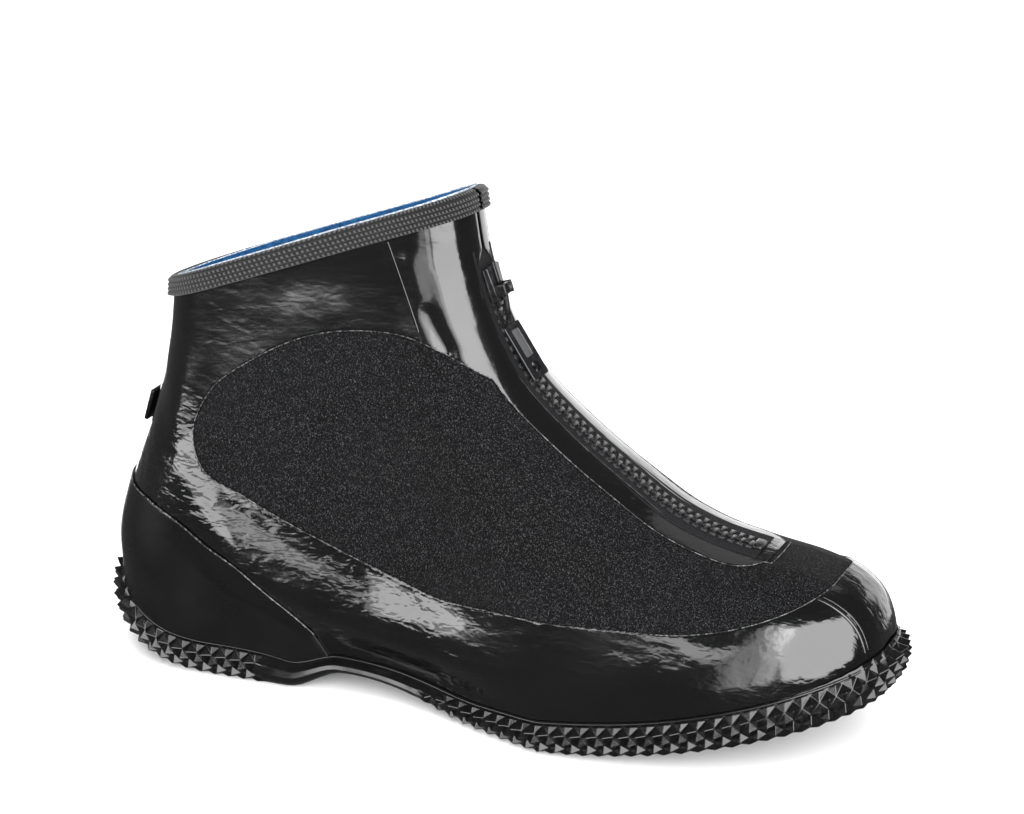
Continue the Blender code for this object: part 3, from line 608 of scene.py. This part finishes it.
# moves grid points onto the line where a field changes sign, so that a piece's edge follows it
def snapTo(w, v, field, across, along):
    shape = (along, across)
    level = field(upperPoint(w.ravel(), v.ravel())).reshape(shape)
    newW, newV, best = w.copy(), v.copy(), np.full(shape, 9.0)
    for di, dj in ((0, 1), (1, 0)):
        a = (slice(0, along - di), slice(0, across - dj))
        b = (slice(di, along), slice(dj, across))
        fa, fb = level[a], level[b]
        cross = (fa * fb) < 0
        t = np.where(cross, fa / np.where(cross, fa - fb, 1.0), 9.0)
        cw = w[a] + (w[b] - w[a]) * t
        cv = v[a] + (v[b] - v[a]) * t
        for spot, share in ((a, t), (b, 1 - t)):
            take = cross & (share <= 0.5) & (share < best[spot])
            for target, source in ((newW, cw), (newV, cv)):
                view = target[spot]
                view[take] = source[take]
            view = best[spot]
            view[take] = share[take]
    return newW, newV


# the upper's w and v at the corners of an even grid
def upperGrid(across, along):
    return np.meshgrid(np.linspace(0, 1, across + 1), np.linspace(0, 1, along + 1))


# a piece of the upper's face between two heights over it, kept where its field is positive, less the holes;
# a point nearer than onLine to a field's edge counts as lying on it
def upperPiece(name, field, low, high, across=340, along=190, rim=0.22, holes=(), onLine=0.12):
    gw, gv = upperGrid(across, along)
    fields = [one for one in (field, *holes) if one is not None]
    for one in fields:
        gw, gv = snapTo(gw, gv, one, across + 1, along + 1)
    w, v = gw.ravel(), gv.ravel()
    points = upperPoint(w, v)
    levels = []
    for one in fields:
        level = one(points)
        level[np.abs(level) < onLine] = 0.0
        levels.append((level, 1 if one is field else -1))
    outer = points + upperNormal(w, v) * (high + foldLift(points))[:, None]
    item = gridOn(name, across, along, lambda a, b: outer)
    work = bmesh.new()
    work.from_mesh(item.data)
    work.verts.ensure_lookup_table()
    for level, sign in levels:
        split = []
        for face in work.faces:
            values = [level[c.index] for c in face.verts]
            if len(values) == 4 and min(values) < 0 < max(values):
                zeros = [c for c, value in zip(face.verts, values) if value == 0]
                if len(zeros) == 2:
                    split.append((face, zeros))
        for face, zeros in split:
            try:
                bmesh.utils.face_split(face, zeros[0], zeros[1])
            except ValueError:
                pass
    drop = [face for face in work.faces
            if any(sum(level[c.index] for c in face.verts) * sign < 0 for level, sign in levels)]
    bmesh.ops.delete(work, geom=drop, context="FACES")
    bmesh.ops.delete(work, geom=[c for c in work.verts if not c.link_faces], context="VERTS")
    bmesh.ops.remove_doubles(work, verts=work.verts, dist=mergeGap)
    work.to_mesh(item.data)
    work.free()
    giveWall(item, high - low, -1.0, rim)
    return item


# soft folds and swells of the rubber: a line in side view with its height and width
folds = [
    dict(line=[(-14, 148), (-2, 128)], lift=-0.9, width=3.0, side=-1),
    dict(line=[(-6, 133), (2, 122)], lift=-0.8, width=2.2, side=-1),
    dict(line=[(-9, 160), (-3, 141), (5, 128)], lift=0.5, width=3.4, side=-1),
    dict(line=[(-20, 166), (-12, 140)], lift=0.5, width=4.0, side=-1),
    dict(line=[(-96, 118), (-106, 84)], lift=-0.5, width=4.5, side=0),
    dict(line=[(-128, 116), (-112, 78)], lift=-0.4, width=5.0, side=0),
    dict(line=[(126, 52), (138, 40)], lift=-0.3, width=5.0, side=0),
    dict(line=[(-70, 150), (-40, 152)], lift=-0.5, width=8.0, side=0),
    dict(line=[(60, 44), (92, 42)], lift=-0.4, width=5.0, side=0),
]

# the long swell under the window: its height over the rubber across its crest line, from below to above
swell = dict(line=[(-112, 66), (-88, 50), (-62, 39), (-32, 30), (0, 27), (34, 28), (70, 30)], lift=5.4,
             across=[-14, -8, -2, 3, 20, 27], share=[0, 0.5, 0.97, 0.96, 0.12, 0])
swellShare = smoothCurve(swell["across"], swell["share"])


def swellLift(p):
    line = np.array(swell["line"], float)
    crest = smoothCurve(line[:, 0], line[:, 1])
    x = np.clip(p[:, 0], line[0, 0], line[-1, 0])
    slope = (crest(x + 1) - crest(x - 1)) / 2
    above = (p[:, 2] - crest(x)) / np.sqrt(1 + slope ** 2)
    taper = ease(p[:, 0], line[0, 0] - 8, line[0, 0] + 30) * (1 - ease(p[:, 0], -6.0, 44.0))
    return swell["lift"] * swellShare(above) * taper


def foldLift(p):
    lift = swellLift(p)
    for fold in folds:
        line = fold["line"]
        marks = lengthAlong(line)
        away = np.full(len(p), np.inf)
        place = np.zeros(len(p))
        for k, (a, b) in enumerate(zip(line, line[1:])):
            t, gap = offRun(p[:, 0], p[:, 2], a, b)
            nearer = gap < away
            away = np.where(nearer, gap, away)
            place = np.where(nearer, (marks[k] + t * (marks[k + 1] - marks[k])) / marks[-1], place)
        taper = ease(place, -0.1, 0.25) * (1 - ease(place, 0.75, 1.1))
        amount = fold["lift"] * np.exp(-(away / fold["width"]) ** 2) * taper
        if fold["side"]:
            amount = amount * (p[:, 1] * fold["side"] > 0)
        lift += amount
    return lift * ease(p[:, 2] - soleTop(p[:, 0]), 0.5, 9.0)


upper = upperPiece("upperRubber", None, -1.4, 0.0, holes=(windowField, slotField))
dress(upper, "upperRubber", "gloss", "upper")

panel = upperPiece("stretchPanel", lambda p: windowField(p, 1.6), -1.3, -0.5, across=320, along=180, rim=0)
dress(panel, "stretchPanel", "knit", "stretch_panel")

counter = upperPiece("heelCounter", counterField, 0.1, 0.9, across=320, along=150, rim=0.25)
dress(counter, "heelCounter", "satin", "heel_counter")
print("upper, panel and counter made")


# a thin rubber lip through spots (w, v) on the upper's face
def lipAlong(name, spots, radius, lift, paint, slot, node=None, sidesRound=6, step=1.2):
    w, v = spots.T
    points = upperPoint(w, v)
    points = points + upperNormal(w, v) * (lift + foldLift(points))[:, None]
    marks = lengthAlong(points)
    even = np.linspace(0, marks[-1], max(int(marks[-1] / step), 6))
    line = np.stack([np.interp(even, marks, points[:, k]) for k in range(3)], 1)
    return tubeAlong(name, line, radius, paint, node, sidesRound)


# where a field is zero on the upper's face, as ordered points (w, v)
def fieldLines(field, across=560, along=260):
    gw, gv = upperGrid(across, along)
    level = field(upperPoint(gw.ravel(), gv.ravel())).reshape(gw.shape)
    segments = []
    for i in range(along):
        row = level[i:i + 2]
        four = np.stack([row[0, :-1], row[0, 1:], row[1, :-1], row[1, 1:]])
        mixed = np.nonzero((four.min(0) < 0) & (four.max(0) > 0))[0]
        for j in mixed:
            corners = [(i, j), (i, j + 1), (i + 1, j + 1), (i + 1, j)]
            hits = []
            for k in range(4):
                a, b = corners[k], corners[(k + 1) % 4]
                fa, fb = level[a], level[b]
                if fa * fb < 0:
                    t = fa / (fa - fb)
                    key = tuple(sorted((a, b)))
                    hits.append((key, (gw[a] + (gw[b] - gw[a]) * t, gv[a] + (gv[b] - gv[a]) * t)))
            if len(hits) == 2:
                segments.append(hits)
    places = {}
    links = {}
    for hits in segments:
        for key, place in hits:
            places[key] = place
        links.setdefault(hits[0][0], []).append(hits[1][0])
        links.setdefault(hits[1][0], []).append(hits[0][0])
    lines = []
    seen = set()
    ends = [key for key, value in links.items() if len(value) == 1] + list(links)
    for start in ends:
        if start in seen:
            continue
        line = [start]
        seen.add(start)
        while True:
            onward = [key for key in links[line[-1]] if key not in seen]
            if not onward:
                break
            line.append(onward[0])
            seen.add(onward[0])
        if len(line) > 20:
            lines.append(np.array([places[key] for key in line]))
    return lines


# radius and height over the face of each lip; the counter's lip ends at a height over the floor. The lips' light
# grey dots are partly scuffed cut rubber and partly a painted dotted highlight
lips = dict(window=(0.18, -0.04), counter=(0.3, 0.72), counterFoot=22.0)
for number, line in enumerate(fieldLines(windowField)):
    lipAlong("windowLip%d" % number, line, *lips["window"], "edge", "gloss_rubber")
for number, line in enumerate(fieldLines(counterField)):
    line = line[upperPoint(*line.T)[:, 2] > lips["counterFoot"]]
    lipAlong("counterLip%d" % number, line, *lips["counter"], "edge", "satin_rubber")
print("lips made")


# raised overlap at the toe, on the inner side: where its lines lie across the shoe, with their radii
toeSeam = dict(lines=[(-21.8, 0.75), (-20.4, 0.35)], back=126.5, sink=0.35)


def seamLine(line):
    spots = []
    for v in np.linspace(0.012, 0.3, 60):
        w = np.linspace(0.3, 0.5, 400)
        ring = upperPoint(w, np.full_like(w, v))
        ahead = ring[:, 0] > toeSeam["back"]
        if not ahead.any() or ring[ahead, 1].min() > line:
            continue
        k = np.nonzero(ahead)[0]
        spots.append((float(np.interp(line, ring[k, 1], w[k])), v))
    spots = np.array(spots)
    level = windowField(upperPoint(spots[:, 0], spots[:, 1]))
    return spots[level < -0.3]


for number, (line, radius) in enumerate(toeSeam["lines"]):
    lipAlong("toeSeam%d" % number, seamLine(line), radius, -radius * toeSeam["sink"], "gloss", "gloss_rubber",
             "toe_seam", 10)

# the upright join in the shaft, in side view from its top to its foot
shaftJoin = dict(x=(-25.6, -14.4), z=(168.0, 137.5), points=40, radius=0.3, lift=-0.16)


def nearestOn(x, z, side, step=1e-4):
    gw, gv = np.meshgrid(np.linspace(0.02, 0.48, 120), np.linspace(0.05, 1, 160))
    w, v = gw.ravel() if side < 0 else 1 - gw.ravel(), gv.ravel()
    ring = upperPoint(w, v)
    found = []
    for px, pz in zip(x, z):
        k = np.hypot(ring[:, 0] - px, ring[:, 2] - pz).argmin()
        cw, cv = w[k], v[k]
        for _ in range(4):
            p = upperPoint(np.array([cw, cw + step, cw]), np.array([cv, cv, min(cv + step, 1)]))[:, [0, 2]]
            slope = np.array([p[1] - p[0], p[2] - p[0]]).T / step
            change = np.linalg.lstsq(slope, np.array([px, pz]) - p[0], rcond=None)[0]
            cw, cv = cw + change[0], float(np.clip(cv + change[1], 0.0, 0.9998))
        found.append((cw, cv))
    return np.array(found)


joinX, joinZ = (np.linspace(*shaftJoin[key], shaftJoin["points"]) for key in "xz")
for side, name in ((-1, "shaftJoinInner"), (1, "shaftJoinOuter")):
    lipAlong(name, nearestOn(joinX, joinZ, side), shaftJoin["radius"], shaftJoin["lift"], "gloss",
             "gloss_rubber", sidesRound=8)
print("seams made")


# the rim's rows run from under the sole over the studs to the top edge; reach is outwards, height a share of the rim
sole = dict(columns=240, studOut=1.25, studIn=1.0, endStud=0.4, heelEnd=-77.0, front=(-20.0, 2.0), tread=2.6,
            floor=-7.5, top=-5.0, reach=[-3.4, -1.1, 0.0, -0.6, -3.0], height=[0.04, 0.24, 0.48, 0.73, 0.94],
            bevel=0.16, sharp=16, plateOver=0.6, plateThick=3.0, plateSink=0.05)


def soleEdge(count, inset=0.0):
    inner, outer = (sideOutline(side, inset, count // 2 + 1) for side in (-1, 1))
    return np.concatenate([inner, outer[-2:0:-1]])


def studShare(x):
    return np.where(x > sole["heelEnd"], ease(x, *sole["front"]), 1.0)


def rimPoints(k, row, rows):
    edge = soleEdge(sole["columns"])
    run = np.roll(edge, -1, axis=0) - np.roll(edge, 1, axis=0)
    run /= np.linalg.norm(run, axis=1)[:, None]
    outward = np.stack([run[:, 1], -run[:, 0]], 1)
    x, y = edge[k, 0], edge[k, 1]
    reach = np.array([sole["floor"]] + sole["reach"] + [sole["top"]])[row]
    share = np.array([0.0] + sole["height"] + [1.0])[row]
    last = len(sole["reach"]) - 1
    rim = (row > 0) & (row < rows - 1)
    stud = np.where((row - 1 + k) % 2 == 1, sole["studOut"], -sole["studIn"]) * studShare(x)
    stud = stud * np.where((row == 1) | (row == rows - 2), sole["endStud"], 1.0) * rim
    out = reach - sole["studIn"] * rim + stud
    px, py = x + outward[k, 0] * out, y + outward[k, 1] * out
    lean = (row - 1 - last / 2) / last
    rise = np.maximum(edgeHeight(x) * share + stud * lean, 0.0)
    z = np.where(row == 0, soleBottom(x) + sole["tread"], np.where(rim, soleBottom(px) + rise, soleTop(x)))
    return np.stack([px, py, z], 1)


def rimLattice():
    count = sole["columns"]
    rows = len(sole["reach"]) + 2
    points = rimPoints(np.tile(np.arange(count), rows), np.repeat(np.arange(rows), count), rows) * mm
    faces = []
    for row in range(rows - 1):
        for k in range(count):
            p, q = row * count + k, row * count + (k + 1) % count
            r, s = q + count, p + count
            faces += [(p, q, r), (p, r, s)] if (row - 1 + k) % 2 == 0 else [(p, q, s), (q, r, s)]
    mesh = bpy.data.meshes.new("soleRim")
    mesh.from_pydata([tuple(p) for p in points], [], faces)
    return added("soleRim", mesh)


rim = rimLattice()
faceOut(rim)
giveWall(rim, rim=sole["bevel"], segments=1, angle=sole["sharp"])
dress(rim, "soleRim", "sole", "outsole", angle=14)


# a sheet between the shoe's two outlines, set in from them, at a height that changes along the shoe
def soleSheet(name, rows, inset, thickness, height, columns=120):
    inner, outer = (sideOutline(side, inset, columns + 1) for side in (-1, 1))

    def place(a, b):
        k = np.rint(a * columns).astype(int)
        p = inner[k] + (outer[k] - inner[k]) * b[:, None]
        return np.stack([p[:, 0], p[:, 1], height(p[:, 0])], 1)

    item = gridOn(name, columns, rows, place, closed=True)
    giveWall(item, thickness)
    faceOut(item)
    return item


plate = soleSheet("solePlate", 10, -sole["floor"] - sole["plateOver"], sole["plateThick"],
                  lambda x: soleBottom(x) + sole["tread"] - sole["plateSink"])
dress(plate, "solePlate", "sole")

# tread bars: one deeper than whole runs right across, the others are split in the middle
bars = dict(x=[-126, -111, -87, -6, 8, 27, 48, 64, 80, 96, 112], half=[25, 30, 31, 30, 36, 42, 44, 43, 41, 36, 29],
            depth=[7, 7, 24, 7, 7, 16, 7, 7, 7, 7, 7], whole=10, split=3.0, tall=4.0, bevel=0.5)
number = 0
for x, wide, deep in zip(bars["x"], bars["half"], bars["depth"]):
    spans = [(-wide, wide)] if deep > bars["whole"] else [(-wide, -bars["split"]), (bars["split"], wide)]
    foot = max(0.0, float(soleBottom(x)))
    for start, end in spans:
        middle = moved(x, float(centreLine(x)) + (start + end) / 2, foot + bars["tall"] / 2)
        bar = boxPiece((deep, end - start, bars["tall"]), bars["bevel"], place=middle)
        dress(bar, "treadBar%02d" % number, "sole")
        number += 1

# thin welt where the upper meets the sole
welt = dict(inset=4.6, lift=0.15, radius=0.55, points=480)
weltEdge = soleEdge(welt["points"], welt["inset"])
weltLine = np.stack([weltEdge[:, 0], weltEdge[:, 1], soleTop(weltEdge[:, 0]) + welt["lift"]], 1)
tubeAlong("soleWelt", weltLine, welt["radius"], "sole", closed=True)
print("sole made")


def collarFrames(w):
    one = np.ones_like(w)
    edge = upperPoint(w, one)
    down = upperPoint(w, one * 0.955) - edge
    down /= np.linalg.norm(down, axis=1)[:, None]
    run = upperPoint(w + 0.002, one) - upperPoint(w - 0.002, one)
    out = np.cross(down, run)
    out /= np.linalg.norm(out, axis=1)[:, None]
    return edge, out, down


def bindingProfile(b):
    face = binding["face"]
    t = np.clip(b / face, 0, 1)
    cords = np.abs(np.sin(np.pi * binding["cords"] * t)) ** binding["cordPower"]
    out = binding["base"] + binding["out"] * np.minimum(1, t * binding["edge"]) + binding["cordHeight"] * cords
    fold = np.clip((b - face) / (1 - face), 0, 1) * np.pi
    radius = (binding["base"] + binding["out"] - binding["inner"]) / 2
    middle = (binding["base"] + binding["out"] + binding["inner"]) / 2
    out = np.where(b < face, out, middle + radius * np.cos(fold))
    down = np.where(b < face, binding["height"] * (1 - t), -binding["top"] * np.sin(fold))
    return out, down


ringW = np.linspace(0.4, 0.5, 900)
ringY = np.abs(upperPoint(ringW, np.ones_like(ringW))[:, 1])
throat = float(np.interp(binding["split"], ringY[::-1], ringW[::-1]))


# from the throat's outer edge round the back to its inner edge
def collarRun(a):
    return np.mod(1 - throat + 2 * throat * a, 1.0)


def bindingPoints(a, b):
    edge, out, down = collarFrames(collarRun(a))
    o, d = bindingProfile(b)
    return edge + out * o[:, None] + down * d[:, None]


band = gridOn("collarBinding", binding["steps"], binding["rows"], bindingPoints)
giveWall(band, binding["thick"], -1.0)
dress(band, "collarBinding", "elastic", "collar_binding", angle=60)

# the lining's depth under the rubber's face and its brim, which rises over the collar's edge
liner = dict(depth=2.5, brimIn=0.2, brimUp=1.3, brim=0.012, reach=0.975)


def liningPoints(a, b):
    v = 1 - b * liner["reach"]
    brim = 1 - ease(b, 0.0, liner["brim"])
    points = upperPoint(a, v) + upperNormal(a, v) * (liner["brimIn"] * brim - liner["depth"])[:, None]
    points[:, 2] += liner["brimUp"] * brim
    return points


lining = gridOn("fleeceLining", 300, 150, liningPoints, closed=True)
dress(lining, "fleeceLining", "fleece", angle=80)

# the pale cut edge of the lining, just inside the binding
cutEdge = dict(inside=1.75, over=1.25, radius=0.42, points=400)
edge, out, down = collarFrames(collarRun(np.linspace(0, 1, cutEdge["points"])))
tubeAlong("liningHem", edge - out * cutEdge["inside"] - down * cutEdge["over"], cutEdge["radius"], "hem")

sock = dict(inset=9.4, lift=1.6, thick=2.2)
insole = soleSheet("insoleSock", 14, sock["inset"], sock["thick"], lambda x: soleTop(x) + sock["lift"])
dress(insole, "insoleSock", "fleece", "insole", angle=80)
print("binding, lining and insole made")


zipSizes = dict(tape=-1.2, tapeHalf=6.8, tapeSpread=2.4, tapeThick=0.7, tooth=3.4, toothHalf=4.1, toothOver=1.1,
                toothThick=1.7, toothLift=0.25, cord=0.55, cordOut=0.5, cordLift=-0.75)


def ribbonPoints(start, end, halfWide, lift):
    def place(a, b):
        s = start + (end - start) * a
        turn = np.interp(s, ridgeS, ridgeTurn)
        x, z = ridgeX(s), ridgeZ(s)
        across = (2 * b - 1) * halfWide(a)
        return np.stack([x + np.sin(turn) * lift, centreLine(x) + across, z - np.cos(turn) * lift], 1)

    return place


# the tape runs wider under the rubber at the toe end
def tapeWidth(a):
    return zipSizes["tapeHalf"] + zipSizes["tapeSpread"] * (1 - ease(a, 0.25, 0.5))


def ridgePlace(s, lift):
    point, along, out = ridgeFrame(s)
    lying = Matrix(((-along[0], 0.0, out[0]), (0.0, 1.0, 0.0), (-along[2], 0.0, out[2])))
    return moved(*(point + out * lift)) @ lying.to_4x4()


tapeStart = ridgeAtX(zipPlace["endX"] + 2.4)
tapeEnd = ridgeAtZ(zipPlace["topZ"] + 6.0)
tape = gridOn("zipTape", 260, 16, ribbonPoints(tapeStart, tapeEnd, tapeWidth, zipSizes["tape"]))
giveWall(tape, zipSizes["tapeThick"], -1.0)
dress(tape, "zipTape", "cloth", "zip_tape")

# one tooth: a stem from its cord to the middle, a wider head and a foot that grips the cord
thick, reach, over = (zipSizes[key] for key in ("toothThick", "toothHalf", "toothOver"))
tooth = joined([boxPiece((1.25, reach + over, thick), 0.28, place=moved(0, -(reach - over) / 2, 0)),
                boxPiece((1.9, 1.5, thick - 0.2), 0.4, place=moved(0, 0.35, 0)),
                boxPiece((2.3, 1.3, thick - 0.3), 0.35, place=moved(0, 0.5 - reach, 0))])

chainStart = ridgeAtX(zipPlace["endX"] - 2.0)
chainEnd = ridgeAtZ(zipPlace["topZ"] - 6.0)
teeth = []
for k in range(2 * int((chainEnd - chainStart) / zipSizes["tooth"])):
    copy = added("tooth", tooth.data.copy())
    flip = turned(180, "Z") if k % 2 else Matrix.Identity(4)
    copy.data.transform(ridgePlace(chainStart + k * zipSizes["tooth"] / 2, zipSizes["toothLift"] - thick / 2) @ flip)
    teeth.append(copy)
bpy.data.objects.remove(tooth, do_unlink=True)
dress(joined(teeth), "zipTeeth", "plastic", "zip_teeth")

even = np.linspace(0, 1, 160)
for side, name in ((-1, "zipCordInner"), (1, "zipCordOuter")):
    beside = ribbonPoints(chainStart - 2, chainEnd + 10, lambda a: side * (reach + zipSizes["cordOut"]),
                          zipSizes["cordLift"])
    tubeAlong(name, beside(even, np.ones_like(even)), zipSizes["cord"], "cloth")

stop = boxPiece((3.6, 6.6, 2.0), 0.7, 3, ridgePlace(chainStart - 2.6, -0.2))
dress(stop, "zipStop", "plastic", "zip_stop")
print("zip made")


slider = dict(length=13.0, width=9.4, narrow=0.28, thick=1.6, face=0.85, pinHeight=4.9, pinDown=2.5, pinRadius=0.8,
              pinLength=5.6, ear=(4.4, 1.1, 4.4), earOut=2.6, earDown=1.1, bridge=(9.0, 2.2, 1.0))
sliderPlace = ridgePlace(ridgeAtZ(zipPlace["topZ"]) - slider["length"] / 2 - 0.5, slider["face"])
hinge = sliderPlace @ moved(slider["pinDown"], 0.0, slider["pinHeight"] - slider["face"])


def rodPiece(radius, length, vertices=24, place=None):
    selectNone()
    bpy.ops.mesh.primitive_cylinder_add(vertices=vertices, radius=radius * mm, depth=length * mm)
    item = bpy.context.object
    item.data.transform(turned(90, "X"))
    if place:
        item.data.transform(place)
    return item


body = boxPiece((slider["length"], slider["width"], slider["thick"]), 0.55, 3)
for corner in body.data.vertices:
    corner.co.y *= 1.0 - slider["narrow"] * max(0.0, (corner.co.x / mm) / (slider["length"] / 2)) ** 2
body.data.transform(sliderPlace @ moved(0, 0, slider["thick"] / 2))
under = (slider["length"] - 1.0, slider["width"] + 0.6, 0.9)
parts = [body, boxPiece(under, 0.3, place=sliderPlace @ moved(0, 0, -0.2))]
for side in (-1, 1):
    parts.append(boxPiece(slider["ear"], 0.4, 3, hinge @ moved(0, side * slider["earOut"], -slider["earDown"])))
parts.append(rodPiece(slider["pinRadius"], slider["pinLength"], place=hinge))
parts.append(boxPiece(slider["bridge"], 0.35, 3, sliderPlace @ moved(-3.2, 0, 2.1)))
dress(joined(parts), "zipSlider", "metal", "zip_slider")

# the link hangs from the pin by drop degrees, and the grip is turned back to lie along the teeth
pull = dict(drop=10.5, gripAt=22.8, gripRise=0.5, gripTurn=15.5, lean=14.0, thick=1.5, eye=2.0, eyeLength=2.8,
            linkLength=13.0, linkAt=7.6, gripLength=21.0, gripWidth=8.4, hole=2.0, holeAt=6.4, slit=(11.6, 4.0, 3.0),
            slitAt=-3.0, slitDeep=0.45, inset=(10.8, 3.3, 0.3))
rest = hinge @ turned(pull["drop"], "Y")
gripPlace = hinge @ moved(pull["gripAt"], 0.0, pull["gripRise"])
gripPlace = gripPlace @ turned(-pull["gripTurn"], "Y") @ turned(pull["lean"], "X")
low = -pull["thick"] / 2
eye = rodPiece(pull["eye"], pull["eyeLength"], 32, rest)
arm = (pull["linkLength"], 0.9, pull["thick"] - 0.2)
arms = [boxPiece(arm, 0.25, place=rest @ moved(pull["linkAt"], side * 0.75, low)) for side in (-1, 1)]
grip = boxPiece((pull["gripLength"], pull["gripWidth"], pull["thick"]), 0.45, 3)
cutters = (rodPiece(pull["hole"], 6.0, 32, moved(pull["holeAt"], 0, 0) @ turned(90, "X")),
           boxPiece(pull["slit"], 0.9, 4, moved(pull["slitAt"], 0, 1.5 + pull["thick"] / 2 - pull["slitDeep"])))
for cutter in cutters:
    step = grip.modifiers.new("cut", "BOOLEAN")
    step.operation = "DIFFERENCE"
    step.solver = "EXACT"
    step.object = cutter
applyAll(grip)
for cutter in cutters:
    bpy.data.objects.remove(cutter, do_unlink=True)
grip.data.transform(gripPlace @ moved(0, 0, low))
dress(joined([eye] + arms + [grip]), "zipPull", "metal", "zip_pull", body="pull")
inset = boxPiece(pull["inset"], 0.1, 2, gripPlace @ moved(pull["slitAt"], 0, low + pull["thick"] / 2 - 0.4))
dress(inset, "pullInset", "inset", body="pull")
print("slider and pull made")

# small rubber plate at the back of the heel
tab = dict(z=91.5, width=20.0, tall=12.5, thick=1.6, gap=0.3, span=6)
lean = math.atan2(float(backX(tab["z"] + tab["span"]) - backX(tab["z"] - tab["span"])), 2.0 * tab["span"])
tabPlace = moved(float(backX(tab["z"])) - tab["thick"] / 2 - tab["gap"], 0, tab["z"]) @ Matrix.Rotation(lean, 4, "Y")
plateTab = boxPiece((tab["thick"], tab["width"], tab["tall"]), 0.45, 3, tabPlace)
dress(plateTab, "heelTab", "satin", "heel_tab")


# the floor's paper begins to glow at some distance, so that it ends in the white of the backdrop
stage = dict(size=9.0, wall=4.3, wallHeight=9.0, fill=0.12, floor=(0.93, 0.93, 0.93), glowFrom=0.5, glowFull=1.7)
bpy.context.scene.view_settings.view_transform = "Standard"
selectNone()
bpy.ops.mesh.primitive_plane_add(size=stage["size"], location=(0, 0, 0))
floor = bpy.context.object
floor.name = "floor"
paper = Paint("floor_paper", Base_Color=stage["floor"], Roughness=0.9, Specular_IOR_Level=0.1, Emission_Strength=1.0)
away = paper.node("ShaderNodeVectorMath", dict(operation="LENGTH"), {0: paper.place()}, out=1)
far = paper.band(away, stage["glowFrom"], stage["glowFull"])
paper.feed("Emission Color", paper.mix(far, (0.0, 0.0, 0.0), (1.0, 1.0, 1.0)))
floor.data.materials.append(paper.material)
floor.visible_glossy = False

selectNone()
bpy.ops.mesh.primitive_cylinder_add(vertices=96, radius=stage["wall"], depth=stage["wallHeight"],
                                    end_fill_type="NOTHING", location=(0, 0, stage["wallHeight"] / 3))
backdrop = bpy.context.object
backdrop.name = "backdrop"
white = Paint("backdrop_paper", Base_Color=(0.0, 0.0, 0.0), Roughness=1.0, Specular_IOR_Level=0.0,
              Emission_Color=(1.0, 1.0, 1.0), Emission_Strength=1.0)
backdrop.data.materials.append(white.material)
backdrop.visible_glossy = False
backdrop.visible_diffuse = False

world = bpy.data.worlds.new("studio")
bpy.context.scene.world = world
world.use_nodes = True
background = world.node_tree.nodes["Background"]
background.inputs["Color"].default_value = (1.0, 1.0, 1.0, 1.0)
background.inputs["Strength"].default_value = stage["fill"]

# each softbox stands at an azimuth from the -Y side towards +X and a height in degrees, seen from the shoe
softboxes = [
    dict(name="front", azimuth=47, height=18, away=1.6, size=(1.95, 1.95), glow=7.4),
    dict(name="frontMiddle", azimuth=11.5, height=18, away=1.68, size=(0.24, 1.95), glow=5.2),
    dict(name="frontEdge", azimuth=3.2, height=18, away=1.68, size=(0.24, 1.95), glow=2.6),
    dict(name="left", azimuth=-42, height=9, away=1.4, size=(1.2, 0.5), glow=6.6),
    dict(name="leftNear", azimuth=-10, height=16, away=1.45, size=(0.42, 0.24), glow=4.4),
    dict(name="behind", azimuth=176, height=6, away=1.7, size=(2.0, 1.2), glow=2.0),
    dict(name="over", azimuth=182, height=58, away=1.5, size=(1.2, 0.6), glow=0.55),
    dict(name="backLeft", azimuth=-145, height=-8, away=1.5, size=(0.85, 0.9), glow=3.0),
    dict(name="ceiling", azimuth=0, height=89, away=2.6, size=(3.4, 3.4), glow=3.2),
]
for box in softboxes:
    light = bpy.data.lights.new(box["name"], "AREA")
    light.shape = "RECTANGLE"
    light.size, light.size_y = box["size"]
    light.energy = box["glow"] * math.pi * box["size"][0] * box["size"][1]
    lamp = added(box["name"], light)
    turn, rise = math.radians(box["azimuth"]), math.radians(box["height"])
    toward = Vector((math.sin(turn) * math.cos(rise), -math.cos(turn) * math.cos(rise), math.sin(rise)))
    lamp.location = toward * box["away"] + Vector((0, 0, 0.09))
    lamp.rotation_euler = toward.to_track_quat("Z", "Y").to_euler()
    lamp.visible_glossy = box["name"] != "ceiling"  # the ceiling only fills the shadows

view = dict(azimuth=25.95, elevation=20.97, roll=-2.29, lens=100.74, sensor=36.0, at=(0.41651, -0.83648, 0.46208))
a, e, r = (math.radians(view[key]) for key in ("azimuth", "elevation", "roll"))
backward = Vector((math.sin(a) * math.cos(e), -math.cos(a) * math.cos(e), math.sin(e)))
level = Vector((math.cos(a), math.sin(a), 0))
upright = backward.cross(level)
right = level * math.cos(r) + upright * math.sin(r)
up = upright * math.cos(r) - level * math.sin(r)
lens = bpy.data.cameras.new("camera")
lens.lens = view["lens"]
lens.sensor_width = view["sensor"]
lens.sensor_fit = "HORIZONTAL"
camera = added("camera", lens)
camera.matrix_world = Matrix.Translation(view["at"]) @ Matrix((right, up, backward)).transposed().to_4x4()
bpy.context.scene.camera = camera

print("scene finished")
